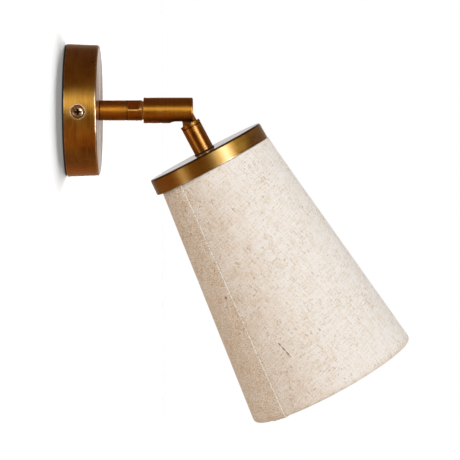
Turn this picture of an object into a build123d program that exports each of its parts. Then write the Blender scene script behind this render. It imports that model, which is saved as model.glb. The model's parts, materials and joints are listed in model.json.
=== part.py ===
from build123d import *
import os
from math import cos, radians, sin, sqrt, tan

os.makedirs("parts", exist_ok=True)

# ======================================================================================
# Driving dimensions, in millimetres and degrees.
# The origin is the centre of the wall bracket's back, on the wall. +X points out of the
# wall along the arm and +Z points up. The head hangs from the knuckle at the arm's end.
# ======================================================================================

# Fits
thread_gap = 0.04          # radial gap between a plain "thread" and its nut
running_gap = 0.06         # radial gap of a shaft that turns in its bore
press_gap = 0.03           # radial gap of a pressed or riveted pin
loose_gap = 0.1            # radial gap of a washer or plate over a thread
seat_gap = 0.3             # gap between a soft or curved piece and its seat
edge_break = 0.3           # small round on a turned edge
cut_over = 1.0             # how far a cut runs past what it cuts
same_size = 0.01           # two radii this close are the same

# Wall bracket
bracket_thickness = 1.5
bracket_width = 24.0
bracket_strip_length = 76.0
bracket_end_width = 10.0
bracket_tab_depth = 17.0
bracket_corner = 3.0
cable_hole_radius = 6.0
wall_slot_spacing = 60.0
wall_slot_length = 12.0
wall_slot_width = 4.5
earth_y, earth_z = 15.0, 7.0
block_y = -14.5

# Canopy, the pressed brass cup on the wall
gasket_thickness = 1.2
gasket_recess = 0.8
gasket_ring_width = 1.6
canopy_radius = 50.0
canopy_depth = 23.8
canopy_draft = 2.2
canopy_wall = 1.0
canopy_edge_radius = 1.5
side_screw_x = 11.6
dimple_radius = 5.5
dimple_depth = 1.4
dimple_floor = 1.0
dimple_taper = 0.8

# Threads and nuts: M10 hollow thread for the arm, M4 and M3 screws
m10_radius = 5.0
m10_bore = 3.5
m10_nut_flats = 14.0
m10_nut_height = 3.0
star_washer_radius = 8.0
star_washer_thickness = 0.8
m4_radius = 2.0
m3_radius = 1.5
screw_head_radius = 4.0
screw_head_height = 2.2
screw_head_taper = 18.0
screw_length = 8.0
earth_washer_radius = 4.5
m3_head_radius = 2.5
m3_head_height = 1.5
m3_well_radius = 2.7
slot_cut_width = 0.9
slot_cut_depth = 1.1

# Arm
stem_radius = 7.6
stem_length = 21.1
stem_ring_count = 3
stem_ring_pitch = 1.6
stem_ring_from_end = 0.96
stem_ring_depth = 0.15
stem_ring_width = 0.3
nipple_inside_canopy = 6.3
nipple_in_stem = 14.0
base_radius = 7.7
base_length = 11.0
base_spigot = 6.0
base_bore = 3.2
wrench_flat_depth = 1.8
wrench_flat_start = 0.4
wrench_flat_length = 8.3
wrench_flat_runout = 1.9
wrench_flat_angle = 46.0
journal_radius = 5.5
journal_length = 9.9
swivel_washer_radius = 7.0
swivel_washer_thickness = 1.1
clip_thickness = 0.9
clip_groove_radius = 4.6
clip_radius = 7.8
clip_mouth = 6.0
clip_from_end = 0.8
wave_washer_thickness = 1.0

# Knuckle
barrel_radius = 9.7
barrel_length = 37.3
barrel_wall = 1.4
barrel_end_wall = 6.0
barrel_end_radius = 1.2
slot_length = 17.7
slot_width = 10.2
pivot_inset = 7.6
yoke_inset = 1.0
yoke_length = 20.5
yoke_base = 3.0
yoke_slot_width = 8.0
yoke_flex_hole = 3.0
pin_radius = 2.0
pin_end_gap = 0.35
tilt_washer_radius = 4.8

# Head: the angle that it hangs at, from straight down
rest_tilt = 27.9
tongue_thickness = 5.5
eye_radius = 5.0
tongue_left = 4.5
tongue_right = 5.8
tongue_waist = 7.8
shoulder_distance = 11.1
shoulder_radius = 7.8
shoulder_thickness = 2.4
shadow_groove_depth = 0.4
shadow_groove_width = 0.4
tongue_spigot = 8.0
tongue_bore = 3.0
tongue_slant = 4.5
core_bore = 2.1
core_turn = 9.0
neck_radius = 7.7
neck_length = 20.4
neck_washer_radius = 8.2
neck_washer_thickness = 0.9
neck_nipple_in_neck = 8.0
neck_nipple_out = 11.7

# Brass cap over the shade, flush with the linen on the side away from the wall
cap_depth = 12.4
cap_draft = 1.85
cap_wall = 1.0
cap_edge_radius = 1.5

# Lampholder, small Edison screw
holder_gap = 0.3
holder_neck_radius = 7.5
holder_neck_length = 4.2
holder_dome_length = 6.5
holder_radius = 14.5
holder_cap_length = 17.7
holder_wall = 1.2
holder_roof = 1.8
skirt_length = 24.0
skirt_radius = 14.0
skirt_flange_radius = 17.0
skirt_flange_thickness = 2.0
skirt_bore = 7.1
skirt_mouth_radius = 9.0
skirt_mouth_depth = 3.0
insert_thickness = 5.5
insert_nose = 1.5
contact_height = 1.4
side_contact_width = 3.0
side_contact_length = 9.0
shade_ring_radius = 18.5
shade_ring_height = 6.0

# Bulb, 45 mm globe
globe_radius = 22.5
globe_centre = 113.0
glass_wall = 0.8
bulb_neck_radius = 8.0
bulb_neck_flare = 1.0
glass_in_shell = 6.0
glass_out_of_shell = 0.2
bulb_shell_radius = 6.75
bulb_shell_wall = 0.4
bulb_shell_length = 16.8
bulb_tip_radius = 2.0
bulb_tip_height = 0.6
bulb_insulator_height = 1.6
bulb_insulator_rim = 0.4

# Shade
shade_top_radius = 45.0
shade_bottom_radius = 67.5
shade_length = 186.1
shade_offset = 2.1         # the shade hangs this far out of line with the neck
shade_lean = 0.62          # and leans by this angle
linen_thickness = 0.7
liner_thickness = 0.8
glue_gap = 0.05
hem_height = 5.0
hem_round = 0.6
wire_radius = 1.25
spider_ring_radius = 22.0
spider_ring_thickness = 1.2
spider_arms = 3
spider_turn = 30.0
spider_arm_radius = 1.2

# Wiring
flex_radius = 2.7
flex_sheath = 0.3
flex_stub = 1.0
core_radius = 1.0
core_gap = 0.2
joint_flex_radius = 1.5
flex_end_x = 16.0
eyelet_radius = 4.0
eyelet_thickness = 0.8
crimp_radius = 1.4
crimp_length = 3.5
crimp_overlap = 1.0

# Terminal block
block_size_y = 16.0
block_size_z = 17.0
block_height = 12.0
block_corner = 1.0
block_seat_cover = 0.7
pole_pitch = 8.0
pole_radius = 2.2
pole_bore = 1.5
pole_height = 5.0
pole_length = 15.0
clamp_screw_z = 4.5
clamp_screw_radius = 1.2
clamp_head_radius = 1.6
clamp_well_radius = 1.7

# ======================================================================================
# Places worked out from the dimensions
# ======================================================================================

canopy_front = gasket_thickness + canopy_depth
canopy_inside = canopy_front - canopy_wall
gasket_radius = canopy_radius - gasket_recess
stem_end = canopy_front + stem_length
base_end = stem_end + base_length
barrel_start = base_end + swivel_washer_thickness
barrel_end = barrel_start + barrel_length
pivot_x = barrel_end - pivot_inset
journal_end = base_end + journal_length
clip_end = journal_end - clip_from_end
clip_start = clip_end - clip_thickness
barrel_bore = barrel_radius - barrel_wall
yoke_end = barrel_end - yoke_inset
yoke_start = yoke_end - yoke_length
yoke_radius = barrel_bore - running_gap
star_washer_back = canopy_inside - star_washer_thickness
lock_nut_back = star_washer_back - m10_nut_height

neck_start = shoulder_distance + shoulder_thickness + shadow_groove_width
neck_end = neck_start + neck_length
cap_radius = shade_top_radius + shade_offset
cap_top = neck_end + neck_washer_thickness
cap_inside = cap_top + cap_wall
cap_rim = cap_top + cap_depth
cap_nut_start = cap_inside + star_washer_thickness
cap_nut_end = cap_nut_start + m10_nut_height
nipple_end = neck_end + neck_nipple_out
holder_top = cap_nut_end + holder_gap
holder_cap_end = holder_top + holder_cap_length
skirt_start = holder_cap_end
skirt_end = skirt_start + skirt_length
insert_start = skirt_start - insert_thickness
contact_top = skirt_start + insert_nose
flange_end = skirt_start + skirt_flange_thickness
spider_plate_end = flange_end + spider_ring_thickness
bulb_tip = contact_top + contact_height
insulator_start = bulb_tip + bulb_tip_height
shell_start = insulator_start + bulb_insulator_height
shell_end = shell_start + bulb_shell_length

# Places on the shade's own axis start at its top edge.
shade_top = cap_rim + seat_gap + cap_radius * tan(radians(shade_lean))
liner_start = linen_thickness + glue_gap
liner_end = shade_length - linen_thickness - glue_gap
liner_outer_depth = linen_thickness + glue_gap
liner_inner_depth = liner_outer_depth + liner_thickness
ring_depth = liner_inner_depth + glue_gap
top_ring_at = liner_start + wire_radius
bottom_ring_at = liner_end - wire_radius

# The head's own directions: "down" runs from the knuckle's pivot to the shade's mouth,
# and "out" is square to it, away from the wall.
down = (sin(radians(rest_tilt)), 0, -cos(radians(rest_tilt)))
out = (cos(radians(rest_tilt)), 0, sin(radians(rest_tilt)))
pivot = (pivot_x, 0, 0)
head = Plane(origin=pivot, x_dir=out, z_dir=down)
head_side = Plane(origin=pivot, x_dir=down, z_dir=(0, -1, 0))
head_axis = Axis(pivot, down)
shade_tilt = rest_tilt + shade_lean
shade_down = (sin(radians(shade_tilt)), 0, -cos(radians(shade_tilt)))
shade_out = (cos(radians(shade_tilt)), 0, sin(radians(shade_tilt)))


def head_point(outward, along):
    """The world place of a point given in the head's own directions."""
    return (
        pivot_x + outward * out[0] + along * down[0],
        0,
        outward * out[2] + along * down[2],
    )


def turn(outline, side_plane=Plane.XZ, axis=Axis.X, mode=Mode.ADD):
    """Turn a closed outline of (along, radius) points about an axis."""
    with BuildSketch(side_plane) as section:
        with BuildLine():
            Polyline(*outline, close=True)
        make_face()
    revolve(section.sketch, axis=axis, mode=mode)


def sleeve(start, end, inner, outer, side_plane=Plane.XZ, axis=Axis.X, mode=Mode.ADD):
    """Turn a plain ring or tube between two places on an axis."""
    outline = [(start, inner), (end, inner), (end, outer), (start, outer)]
    turn(outline, side_plane, axis, mode)


def head_sleeve(start, end, inner, outer, mode=Mode.ADD):
    """Turn a plain ring or tube about the head's axis."""
    sleeve(start, end, inner, outer, head_side, head_axis, mode)


def rims(builder, radius):
    """The round edges of one radius."""
    circles = builder.edges().filter_by(GeomType.CIRCLE)
    return circles.filter_by(lambda edge: abs(edge.radius - radius) < same_size)


def hex_nut(plane, height, flats, bore):
    """A hexagon nut that stands on a plane."""
    with BuildSketch(plane) as blank:
        RegularPolygon(flats / 2, 6, major_radius=False)
        Circle(bore, mode=Mode.SUBTRACT)
    extrude(blank.sketch, amount=height)


def corner_radii(points):
    """The largest smooth arc for each corner of a cord's route."""
    radii = []
    for before, corner, after in zip(points, points[1:], points[2:]):
        arriving = Vector(*corner) - Vector(*before)
        leaving = Vector(*after) - Vector(*corner)
        half_turn = radians(arriving.get_angle(leaving)) / 2
        radii.append(0.45 * min(arriving.length, leaving.length) / tan(half_turn))
    return radii


def cord(points, radius):
    """A round cord along straight runs joined by arcs."""
    radii = corner_radii(points)
    print("cord radii", [round(value, 1) for value in radii])
    with BuildLine() as route:
        FilletPolyline(*points, radius=radii)
    with BuildSketch(Plane(origin=route.line @ 0, z_dir=route.line % 0)) as section:
        Circle(radius)
    sweep(section.sketch, path=route.line)


def pan_screw(plane, shank_radius, length, head_radius, head_height):
    """A domed screw: its head stands on the plane and its shank goes down from it."""
    with BuildSketch(plane) as shank:
        Circle(shank_radius)
    extrude(shank.sketch, amount=-length)
    with BuildSketch(plane) as rim:
        Circle(head_radius)
    extrude(rim.sketch, amount=head_height, taper=screw_head_taper)
    with BuildSketch(plane.offset(head_height)) as slots:
        Rectangle(2 * head_radius + cut_over, slot_cut_width)
        Rectangle(slot_cut_width, head_radius)
    extrude(slots.sketch, amount=-slot_cut_depth, mode=Mode.SUBTRACT)


shade_origin = head_point(shade_offset, shade_top)
shade_frame = Plane(origin=shade_origin, x_dir=shade_out, z_dir=shade_down)
shade_side = Plane(origin=shade_origin, x_dir=shade_down, z_dir=(0, -1, 0))
shade_axis = Axis(shade_origin, shade_down)


def shade_radius(along):
    """The linen's outer radius at a distance from the shade's top edge."""
    return shade_top_radius + (shade_bottom_radius - shade_top_radius) * along / shade_length


def inside_linen(along, depth):
    """An outline point of the shade, at a depth under the linen's outer face."""
    return (along, shade_radius(along) - depth)


def wire_ring(along):
    """A round wire ring that lies against the liner."""
    radius = shade_radius(along) - ring_depth - wire_radius
    with BuildSketch(shade_side) as section:
        with Locations((along, radius)):
            Circle(wire_radius)
    revolve(section.sketch, axis=shade_axis)


# ======================================================================================
# On the wall: bracket, gasket, canopy and what they hold
# ======================================================================================

# The tabs' outer faces carry the dimple floors of the canopy.
canopy_slope = tan(radians(canopy_draft))
canopy_radius_at_screw = canopy_radius - (side_screw_x - gasket_thickness) * canopy_slope
dimple_face = canopy_radius_at_screw - dimple_depth
tab_face = dimple_face - dimple_floor

with BuildPart() as wall_bracket:
    with BuildSketch(Plane.YZ):
        Rectangle(bracket_strip_length, bracket_width)
        Rectangle(2 * tab_face, bracket_end_width)
        Circle(cable_hole_radius, mode=Mode.SUBTRACT)
        with Locations((-wall_slot_spacing / 2, 0), (wall_slot_spacing / 2, 0)):
            SlotOverall(wall_slot_length, wall_slot_width, mode=Mode.SUBTRACT)
        with Locations((earth_y, earth_z)):
            Circle(m4_radius + thread_gap, mode=Mode.SUBTRACT)
        with Locations((block_y, 0)):
            Circle(m3_radius + thread_gap, mode=Mode.SUBTRACT)
    extrude(amount=bracket_thickness)
    corners = wall_bracket.edges().filter_by(Axis.X).group_by(SortBy.LENGTH)[0]
    fillet(
        corners.filter_by(
            lambda edge: abs(abs(edge.center().Z) - bracket_width / 2) < same_size
        ),
        radius=bracket_corner,
    )
    for side in (-1, 1):
        tab_centre = side * (tab_face - bracket_thickness / 2)
        with BuildSketch(Plane.YZ):
            with Locations((tab_centre, 0)):
                Rectangle(bracket_thickness, bracket_end_width)
        extrude(amount=bracket_tab_depth)
    with BuildSketch(Plane.XZ):
        with Locations((side_screw_x, 0)):
            Circle(m4_radius + thread_gap)
    extrude(amount=canopy_radius, both=True, mode=Mode.SUBTRACT)
wall_bracket.part.label = "wall_bracket"
export_step(wall_bracket.part, "parts/wall_bracket.step")

with BuildPart() as wall_gasket:
    sleeve(0, gasket_thickness, gasket_radius - gasket_ring_width, gasket_radius)
wall_gasket.part.label = "wall_gasket"
export_step(wall_gasket.part, "parts/wall_gasket.step")

front_radius = canopy_radius - canopy_depth * canopy_slope
with BuildPart() as canopy:
    turn(
        [
            (gasket_thickness, canopy_radius),
            (canopy_front, front_radius),
            (canopy_front, m10_radius + loose_gap),
            (canopy_inside, m10_radius + loose_gap),
            (canopy_inside, front_radius - canopy_wall),
            (gasket_thickness, canopy_radius - canopy_wall),
        ]
    )
    fillet(rims(canopy, front_radius), radius=canopy_edge_radius)
    fillet(rims(canopy, front_radius - canopy_wall), radius=canopy_edge_radius / 3)
    # A pressed dimple on each side takes the head of its side screw.
    for side in (-1, 1):
        facing = Plane(
            origin=(side_screw_x, side * tab_face, 0), x_dir=(1, 0, 0), z_dir=(0, side, 0)
        )
        with BuildSketch(facing):
            Circle(dimple_radius + canopy_wall)
        extrude(until=Until.NEXT)
        with BuildSketch(facing.offset(dimple_floor)):
            Circle(dimple_radius - dimple_taper)
        with BuildSketch(facing.offset(dimple_floor + dimple_depth + canopy_wall)):
            Circle(dimple_radius + dimple_taper / 2)
        loft(mode=Mode.SUBTRACT)
        with BuildSketch(facing):
            Circle(m4_radius + 2 * loose_gap)
        extrude(amount=dimple_floor, mode=Mode.SUBTRACT)
canopy.part.label = "canopy"
export_step(canopy.part, "parts/canopy.step")

with BuildPart() as side_screws:
    for side in (-1, 1):
        seat = Plane(
            origin=(side_screw_x, side * dimple_face, 0), x_dir=(1, 0, 0), z_dir=(0, side, 0)
        )
        pan_screw(seat, m4_radius, screw_length, screw_head_radius, screw_head_height)
side_screws.part.label = "side_screws"
export_step(side_screws.part, "parts/side_screws.step")

earth_stack = bracket_thickness + star_washer_thickness + eyelet_thickness
with BuildPart() as earth_screw:
    earth_seat = Plane(origin=(earth_stack, earth_y, earth_z), x_dir=(0, 1, 0), z_dir=(1, 0, 0))
    earth_reach = earth_stack - loose_gap
    pan_screw(earth_seat, m4_radius, earth_reach, screw_head_radius, screw_head_height)
earth_screw.part.label = "earth_screw"
export_step(earth_screw.part, "parts/earth_screw.step")

with BuildPart() as earth_washer:
    with BuildSketch(Plane.YZ.offset(bracket_thickness)):
        with Locations((earth_y, earth_z)):
            Circle(earth_washer_radius)
            Circle(m4_radius + loose_gap, mode=Mode.SUBTRACT)
    extrude(amount=star_washer_thickness)
earth_washer.part.label = "earth_washer"
export_step(earth_washer.part, "parts/earth_washer.step")

eyelet_back = bracket_thickness + star_washer_thickness
crimp_x = eyelet_back + crimp_radius
crimp_end = earth_y - screw_head_radius
crimp_start = crimp_end - crimp_length
with BuildPart() as earth_eyelet:
    with BuildSketch(Plane.YZ.offset(eyelet_back)):
        with Locations((earth_y, earth_z)):
            Circle(eyelet_radius)
        with Locations(((crimp_end + earth_y) / 2, earth_z)):
            Rectangle(earth_y - crimp_end + crimp_overlap, 2 * crimp_radius)
        with Locations((earth_y, earth_z)):
            Circle(m4_radius + loose_gap, mode=Mode.SUBTRACT)
    extrude(amount=eyelet_thickness)
    crimp_plane = Plane(origin=(crimp_x, crimp_start, earth_z), x_dir=(1, 0, 0), z_dir=(0, 1, 0))
    with BuildSketch(crimp_plane):
        Circle(crimp_radius)
    extrude(amount=crimp_end - crimp_start)
earth_eyelet.part.label = "earth_eyelet"
export_step(earth_eyelet.part, "parts/earth_eyelet.step")

block_top = bracket_thickness + block_height
pole_x = bracket_thickness + pole_height
block_screw_seat = pole_x + pole_radius + block_seat_cover
pole_places = [(pole_x, block_y - pole_pitch / 2), (pole_x, block_y + pole_pitch / 2)]
clamp_places = [
    (pole_y, z) for x, pole_y in pole_places for z in (-clamp_screw_z, clamp_screw_z)
]
with BuildPart() as terminal_block:
    with BuildSketch(Plane.YZ.offset(bracket_thickness)):
        with Locations((block_y, 0)):
            RectangleRounded(block_size_y, block_size_z, block_corner)
    extrude(amount=block_height)
    with BuildSketch(Plane.XY):
        with Locations(*pole_places):
            Circle(pole_radius + press_gap)
    extrude(amount=block_size_z, both=True, mode=Mode.SUBTRACT)
    with BuildSketch(Plane.YZ.offset(pole_x)):
        with Locations(*clamp_places):
            Circle(clamp_well_radius)
    extrude(amount=block_height, mode=Mode.SUBTRACT)
    with BuildSketch(Plane.YZ):
        with Locations((block_y, 0)):
            Circle(m3_radius + thread_gap)
    extrude(amount=block_top, mode=Mode.SUBTRACT)
    with BuildSketch(Plane.YZ.offset(block_screw_seat)):
        with Locations((block_y, 0)):
            Circle(m3_well_radius)
    extrude(amount=block_height, mode=Mode.SUBTRACT)
terminal_block.part.label = "terminal_block"
export_step(terminal_block.part, "parts/terminal_block.step")

with BuildPart() as terminal_inserts:
    with BuildSketch(Plane.XY):
        with Locations(*pole_places):
            Circle(pole_radius)
            Circle(pole_bore, mode=Mode.SUBTRACT)
    extrude(amount=pole_length / 2, both=True)
    with BuildSketch(Plane.YZ.offset(pole_x)):
        with Locations(*clamp_places):
            Circle(clamp_screw_radius + thread_gap)
    extrude(amount=pole_radius, mode=Mode.SUBTRACT)
terminal_inserts.part.label = "terminal_inserts"
export_step(terminal_inserts.part, "parts/terminal_inserts.step")

with BuildPart() as clamp_screws:
    with BuildSketch(Plane.YZ.offset(pole_x + core_radius)):
        with Locations(*clamp_places):
            Circle(clamp_screw_radius)
    extrude(amount=pole_radius)
    with BuildSketch(Plane.YZ.offset(pole_x + pole_radius + loose_gap)):
        with Locations(*clamp_places):
            Circle(clamp_head_radius)
    extrude(amount=clamp_head_radius)
    with BuildSketch(Plane.YZ.offset(pole_x + pole_radius + loose_gap + clamp_head_radius)):
        with Locations(*clamp_places):
            Rectangle(3 * clamp_head_radius, slot_cut_width / 2)
    extrude(amount=-clamp_head_radius / 2, mode=Mode.SUBTRACT)
clamp_screws.part.label = "clamp_screws"
export_step(clamp_screws.part, "parts/clamp_screws.step")

with BuildPart() as block_screw:
    block_seat = Plane(origin=(block_screw_seat, block_y, 0), x_dir=(0, 1, 0), z_dir=(1, 0, 0))
    block_reach = block_screw_seat - loose_gap
    pan_screw(block_seat, m3_radius, block_reach, m3_head_radius, m3_head_height)
block_screw.part.label = "block_screw"
export_step(block_screw.part, "parts/block_screw.step")

# ======================================================================================
# The fixed arm
# ======================================================================================

with BuildPart() as star_washer:
    sleeve(star_washer_back, canopy_inside, m10_radius + loose_gap, star_washer_radius)
star_washer.part.label = "star_washer"
export_step(star_washer.part, "parts/star_washer.step")

with BuildPart() as lock_nut:
    nut_plane = Plane.YZ.offset(lock_nut_back)
    hex_nut(nut_plane, m10_nut_height, m10_nut_flats, m10_radius + thread_gap)
lock_nut.part.label = "lock_nut"
export_step(lock_nut.part, "parts/lock_nut.step")

nipple_start = canopy_inside - nipple_inside_canopy
with BuildPart() as stem_nipple:
    sleeve(nipple_start, canopy_front + nipple_in_stem, m10_bore, m10_radius)
stem_nipple.part.label = "stem_nipple"
export_step(stem_nipple.part, "parts/stem_nipple.step")

with BuildPart() as stem:
    sleeve(canopy_front, stem_end, m10_radius + thread_gap, stem_radius)
    fillet(rims(stem, stem_radius), radius=edge_break)
    for ring in range(stem_ring_count):
        ring_x = stem_end - stem_ring_from_end - ring * stem_ring_pitch
        sleeve(
            ring_x,
            ring_x + stem_ring_width,
            stem_radius - stem_ring_depth,
            stem_radius + cut_over,
            mode=Mode.SUBTRACT,
        )
stem.part.label = "stem"
export_step(stem.part, "parts/stem.step")

with BuildPart() as swivel_base:
    turn(
        [
            (stem_end - base_spigot, base_bore),
            (stem_end - base_spigot, m10_radius),
            (stem_end, m10_radius),
            (stem_end, base_radius),
            (base_end, base_radius),
            (base_end, journal_radius),
            (clip_start, journal_radius),
            (clip_start, clip_groove_radius),
            (clip_end, clip_groove_radius),
            (clip_end, journal_radius),
            (journal_end, journal_radius),
            (journal_end, base_bore),
        ]
    )
    fillet(rims(swivel_base, base_radius), radius=edge_break)
    # Two opposite flats for a spanner, one of them facing up and to the side.
    for side in (-1, 1):
        flat_out = (
            0,
            -side * cos(radians(wrench_flat_angle)),
            side * sin(radians(wrench_flat_angle)),
        )
        across = Vector(1, 0, 0).cross(Vector(*flat_out))
        floor = base_radius - wrench_flat_depth
        flat_origin = (stem_end, floor * flat_out[1], floor * flat_out[2])
        flat_end = wrench_flat_start + wrench_flat_length
        runout_end = flat_end + wrench_flat_runout
        runout_height = 1.2 * wrench_flat_depth
        with BuildSketch(Plane(origin=flat_origin, x_dir=(1, 0, 0), z_dir=across)):
            with BuildLine():
                Polyline(
                    (wrench_flat_start, 0),
                    (flat_end, 0),
                    (runout_end, runout_height),
                    (wrench_flat_start, runout_height),
                    close=True,
                )
            make_face()
        extrude(amount=base_radius, both=True, mode=Mode.SUBTRACT)
swivel_base.part.label = "swivel_base"
export_step(swivel_base.part, "parts/swivel_base.step")

with BuildPart() as swivel_washer:
    sleeve(base_end, barrel_start, journal_radius + loose_gap, swivel_washer_radius)
swivel_washer.part.label = "swivel_washer"
export_step(swivel_washer.part, "parts/swivel_washer.step")

with BuildPart() as swivel_clip:
    sleeve(clip_start, clip_end, clip_groove_radius + thread_gap, clip_radius)
    with BuildSketch(Plane.YZ.offset(clip_start)):
        with Locations((0, clip_radius)):
            Rectangle(clip_mouth, 2 * clip_radius)
    extrude(amount=clip_thickness, mode=Mode.SUBTRACT)
swivel_clip.part.label = "swivel_clip"
export_step(swivel_clip.part, "parts/swivel_clip.step")

# ======================================================================================
# The knuckle: it turns about the arm, and carries the head's pivot
# ======================================================================================

bearing_end = barrel_start + barrel_end_wall
slot_start = barrel_end - slot_length
with BuildPart() as knuckle_barrel:
    turn(
        [
            (barrel_start, journal_radius + running_gap),
            (barrel_start, barrel_radius),
            (barrel_end, barrel_radius),
            (barrel_end, barrel_bore),
            (bearing_end, barrel_bore),
            (bearing_end, journal_radius + running_gap),
        ]
    )
    fillet(rims(knuckle_barrel, barrel_radius).sort_by(Axis.X)[0], radius=edge_break)
    fillet(rims(knuckle_barrel, barrel_radius).sort_by(Axis.X)[-1], radius=barrel_end_radius)
    with BuildSketch(Plane.XY):
        with Locations((slot_start + slot_width / 2, 0)):
            Circle(slot_width / 2)
        with Locations((barrel_end, 0)):
            Rectangle(2 * (slot_length - slot_width / 2), slot_width)
    extrude(amount=-2 * barrel_radius, mode=Mode.SUBTRACT)
knuckle_barrel.part.label = "knuckle_barrel"
export_step(knuckle_barrel.part, "parts/knuckle_barrel.step")

with BuildPart() as wave_washer:
    sleeve(
        bearing_end,
        bearing_end + wave_washer_thickness,
        journal_radius + loose_gap,
        barrel_bore - seat_gap,
    )
wave_washer.part.label = "wave_washer"
export_step(wave_washer.part, "parts/wave_washer.step")

with BuildPart() as pivot_yoke:
    sleeve(yoke_start, yoke_end, yoke_flex_hole, yoke_radius)
    with BuildSketch(Plane.XY):
        with Locations((yoke_end, 0)):
            Rectangle(2 * (yoke_length - yoke_base), yoke_slot_width)
    extrude(amount=2 * yoke_radius, both=True, mode=Mode.SUBTRACT)
    with BuildSketch(Plane.XZ):
        with Locations((pivot_x, 0)):
            Circle(pin_radius + press_gap)
    extrude(amount=2 * yoke_radius, both=True, mode=Mode.SUBTRACT)
pivot_yoke.part.label = "pivot_yoke"
export_step(pivot_yoke.part, "parts/pivot_yoke.step")

pin_half = sqrt(barrel_bore**2 - pin_radius**2) - pin_end_gap
with BuildPart() as pivot_pin:
    with BuildSketch(Plane.XZ):
        with Locations((pivot_x, 0)):
            Circle(pin_radius)
    extrude(amount=pin_half, both=True)
    chamfer(rims(pivot_pin, pin_radius), length=edge_break)
pivot_pin.part.label = "pivot_pin"
export_step(pivot_pin.part, "parts/pivot_pin.step")

washer_inside = tongue_thickness / 2 + running_gap
washer_outside = yoke_slot_width / 2 - running_gap
with BuildPart() as tilt_washers:
    for side in (-1, 1):
        near_face = Plane(
            origin=(pivot_x, side * washer_inside, 0), x_dir=(1, 0, 0), z_dir=(0, side, 0)
        )
        with BuildSketch(near_face):
            Circle(tilt_washer_radius)
            Circle(pin_radius + loose_gap, mode=Mode.SUBTRACT)
        extrude(amount=washer_outside - washer_inside)
tilt_washers.part.label = "tilt_washers"
export_step(tilt_washers.part, "parts/tilt_washers.step")

# ======================================================================================
# The head: tongue, neck, cap, lampholder, bulb and shade
# ======================================================================================

shoulder_end = shoulder_distance + shoulder_thickness
with BuildPart() as tilt_tongue:
    with BuildSketch(Plane(origin=pivot, x_dir=out, z_dir=(0, 1, 0))):
        Circle(eye_radius)
        with BuildLine():
            Polyline(
                (-tongue_left, 0),
                (-tongue_left, tongue_waist),
                (-tongue_right, shoulder_distance),
                (tongue_right, shoulder_distance),
                (tongue_right, tongue_slant),
                (eye_radius, 0),
                close=True,
            )
        make_face()
    extrude(amount=tongue_thickness / 2, both=True)
    turn(
        [
            (shoulder_distance, 0),
            (shoulder_distance, shoulder_radius),
            (shoulder_end, shoulder_radius),
            (shoulder_end, shoulder_radius - shadow_groove_depth),
            (neck_start, shoulder_radius - shadow_groove_depth),
            (neck_start, m10_radius),
            (neck_start + tongue_spigot, m10_radius),
            (neck_start + tongue_spigot, 0),
        ],
        head_side,
        head_axis,
    )
    # The pin's bore, and the way for the wires: in at the wall side, then down the neck.
    with BuildSketch(Plane.XZ):
        with Locations((pivot_x, 0)):
            Circle(pin_radius + running_gap)
    extrude(amount=tongue_thickness, both=True, mode=Mode.SUBTRACT)
    entry_point = head_point(-core_turn, 0)
    turn_point = head_point(0, core_turn)
    slant = Vector(*turn_point) - Vector(*entry_point)
    with BuildSketch(Plane(origin=entry_point, z_dir=slant)):
        Circle(core_bore)
    extrude(amount=slant.length, mode=Mode.SUBTRACT)
    head_sleeve(core_turn - core_bore, shoulder_end, 0, core_bore, mode=Mode.SUBTRACT)
    head_sleeve(shoulder_end, neck_start + tongue_spigot, 0, tongue_bore, mode=Mode.SUBTRACT)
tilt_tongue.part.label = "tilt_tongue"
export_step(tilt_tongue.part, "parts/tilt_tongue.step")

with BuildPart() as neck_tube:
    head_sleeve(neck_start, neck_end, m10_radius + thread_gap, neck_radius)
    fillet(rims(neck_tube, neck_radius), radius=edge_break)
neck_tube.part.label = "neck_tube"
export_step(neck_tube.part, "parts/neck_tube.step")

with BuildPart() as neck_nipple:
    head_sleeve(neck_end - neck_nipple_in_neck, nipple_end, m10_bore, m10_radius)
neck_nipple.part.label = "neck_nipple"
export_step(neck_nipple.part, "parts/neck_nipple.step")

with BuildPart() as neck_washer:
    head_sleeve(neck_end, cap_top, m10_radius + loose_gap, neck_washer_radius)
neck_washer.part.label = "neck_washer"
export_step(neck_washer.part, "parts/neck_washer.step")

cap_top_radius = cap_radius - cap_depth * tan(radians(cap_draft))
with BuildPart() as shade_cap:
    turn(
        [
            (cap_rim, cap_radius),
            (cap_top, cap_top_radius),
            (cap_top, m10_radius + loose_gap),
            (cap_inside, m10_radius + loose_gap),
            (cap_inside, cap_top_radius - cap_wall),
            (cap_rim, cap_radius - cap_wall),
        ],
        head_side,
        head_axis,
    )
    fillet(rims(shade_cap, cap_top_radius), radius=cap_edge_radius)
shade_cap.part.label = "shade_cap"
export_step(shade_cap.part, "parts/shade_cap.step")

with BuildPart() as cap_washer:
    head_sleeve(cap_inside, cap_nut_start, m10_radius + loose_gap, star_washer_radius)
cap_washer.part.label = "cap_washer"
export_step(cap_washer.part, "parts/cap_washer.step")

with BuildPart() as cap_nut:
    cap_nut_plane = head.offset(cap_nut_start)
    hex_nut(cap_nut_plane, m10_nut_height, m10_nut_flats, m10_radius + thread_gap)
cap_nut.part.label = "cap_nut"
export_step(cap_nut.part, "parts/cap_nut.step")

dome_inner = holder_radius - holder_wall
dome_start = holder_top + holder_neck_length
dome_end = dome_start + holder_dome_length
with BuildPart() as lampholder_cap:
    turn(
        [
            (holder_top, m10_radius + thread_gap),
            (holder_top, holder_neck_radius),
            (dome_start, holder_neck_radius),
            (dome_end, holder_radius),
            (holder_cap_end, holder_radius),
            (holder_cap_end, dome_inner),
            (dome_end + holder_wall / 2, dome_inner),
            (dome_start + holder_roof, holder_neck_radius),
            (dome_start + holder_roof, m10_radius + thread_gap),
        ],
        head_side,
        head_axis,
    )
lampholder_cap.part.label = "lampholder_cap"
export_step(lampholder_cap.part, "parts/lampholder_cap.step")

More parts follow.
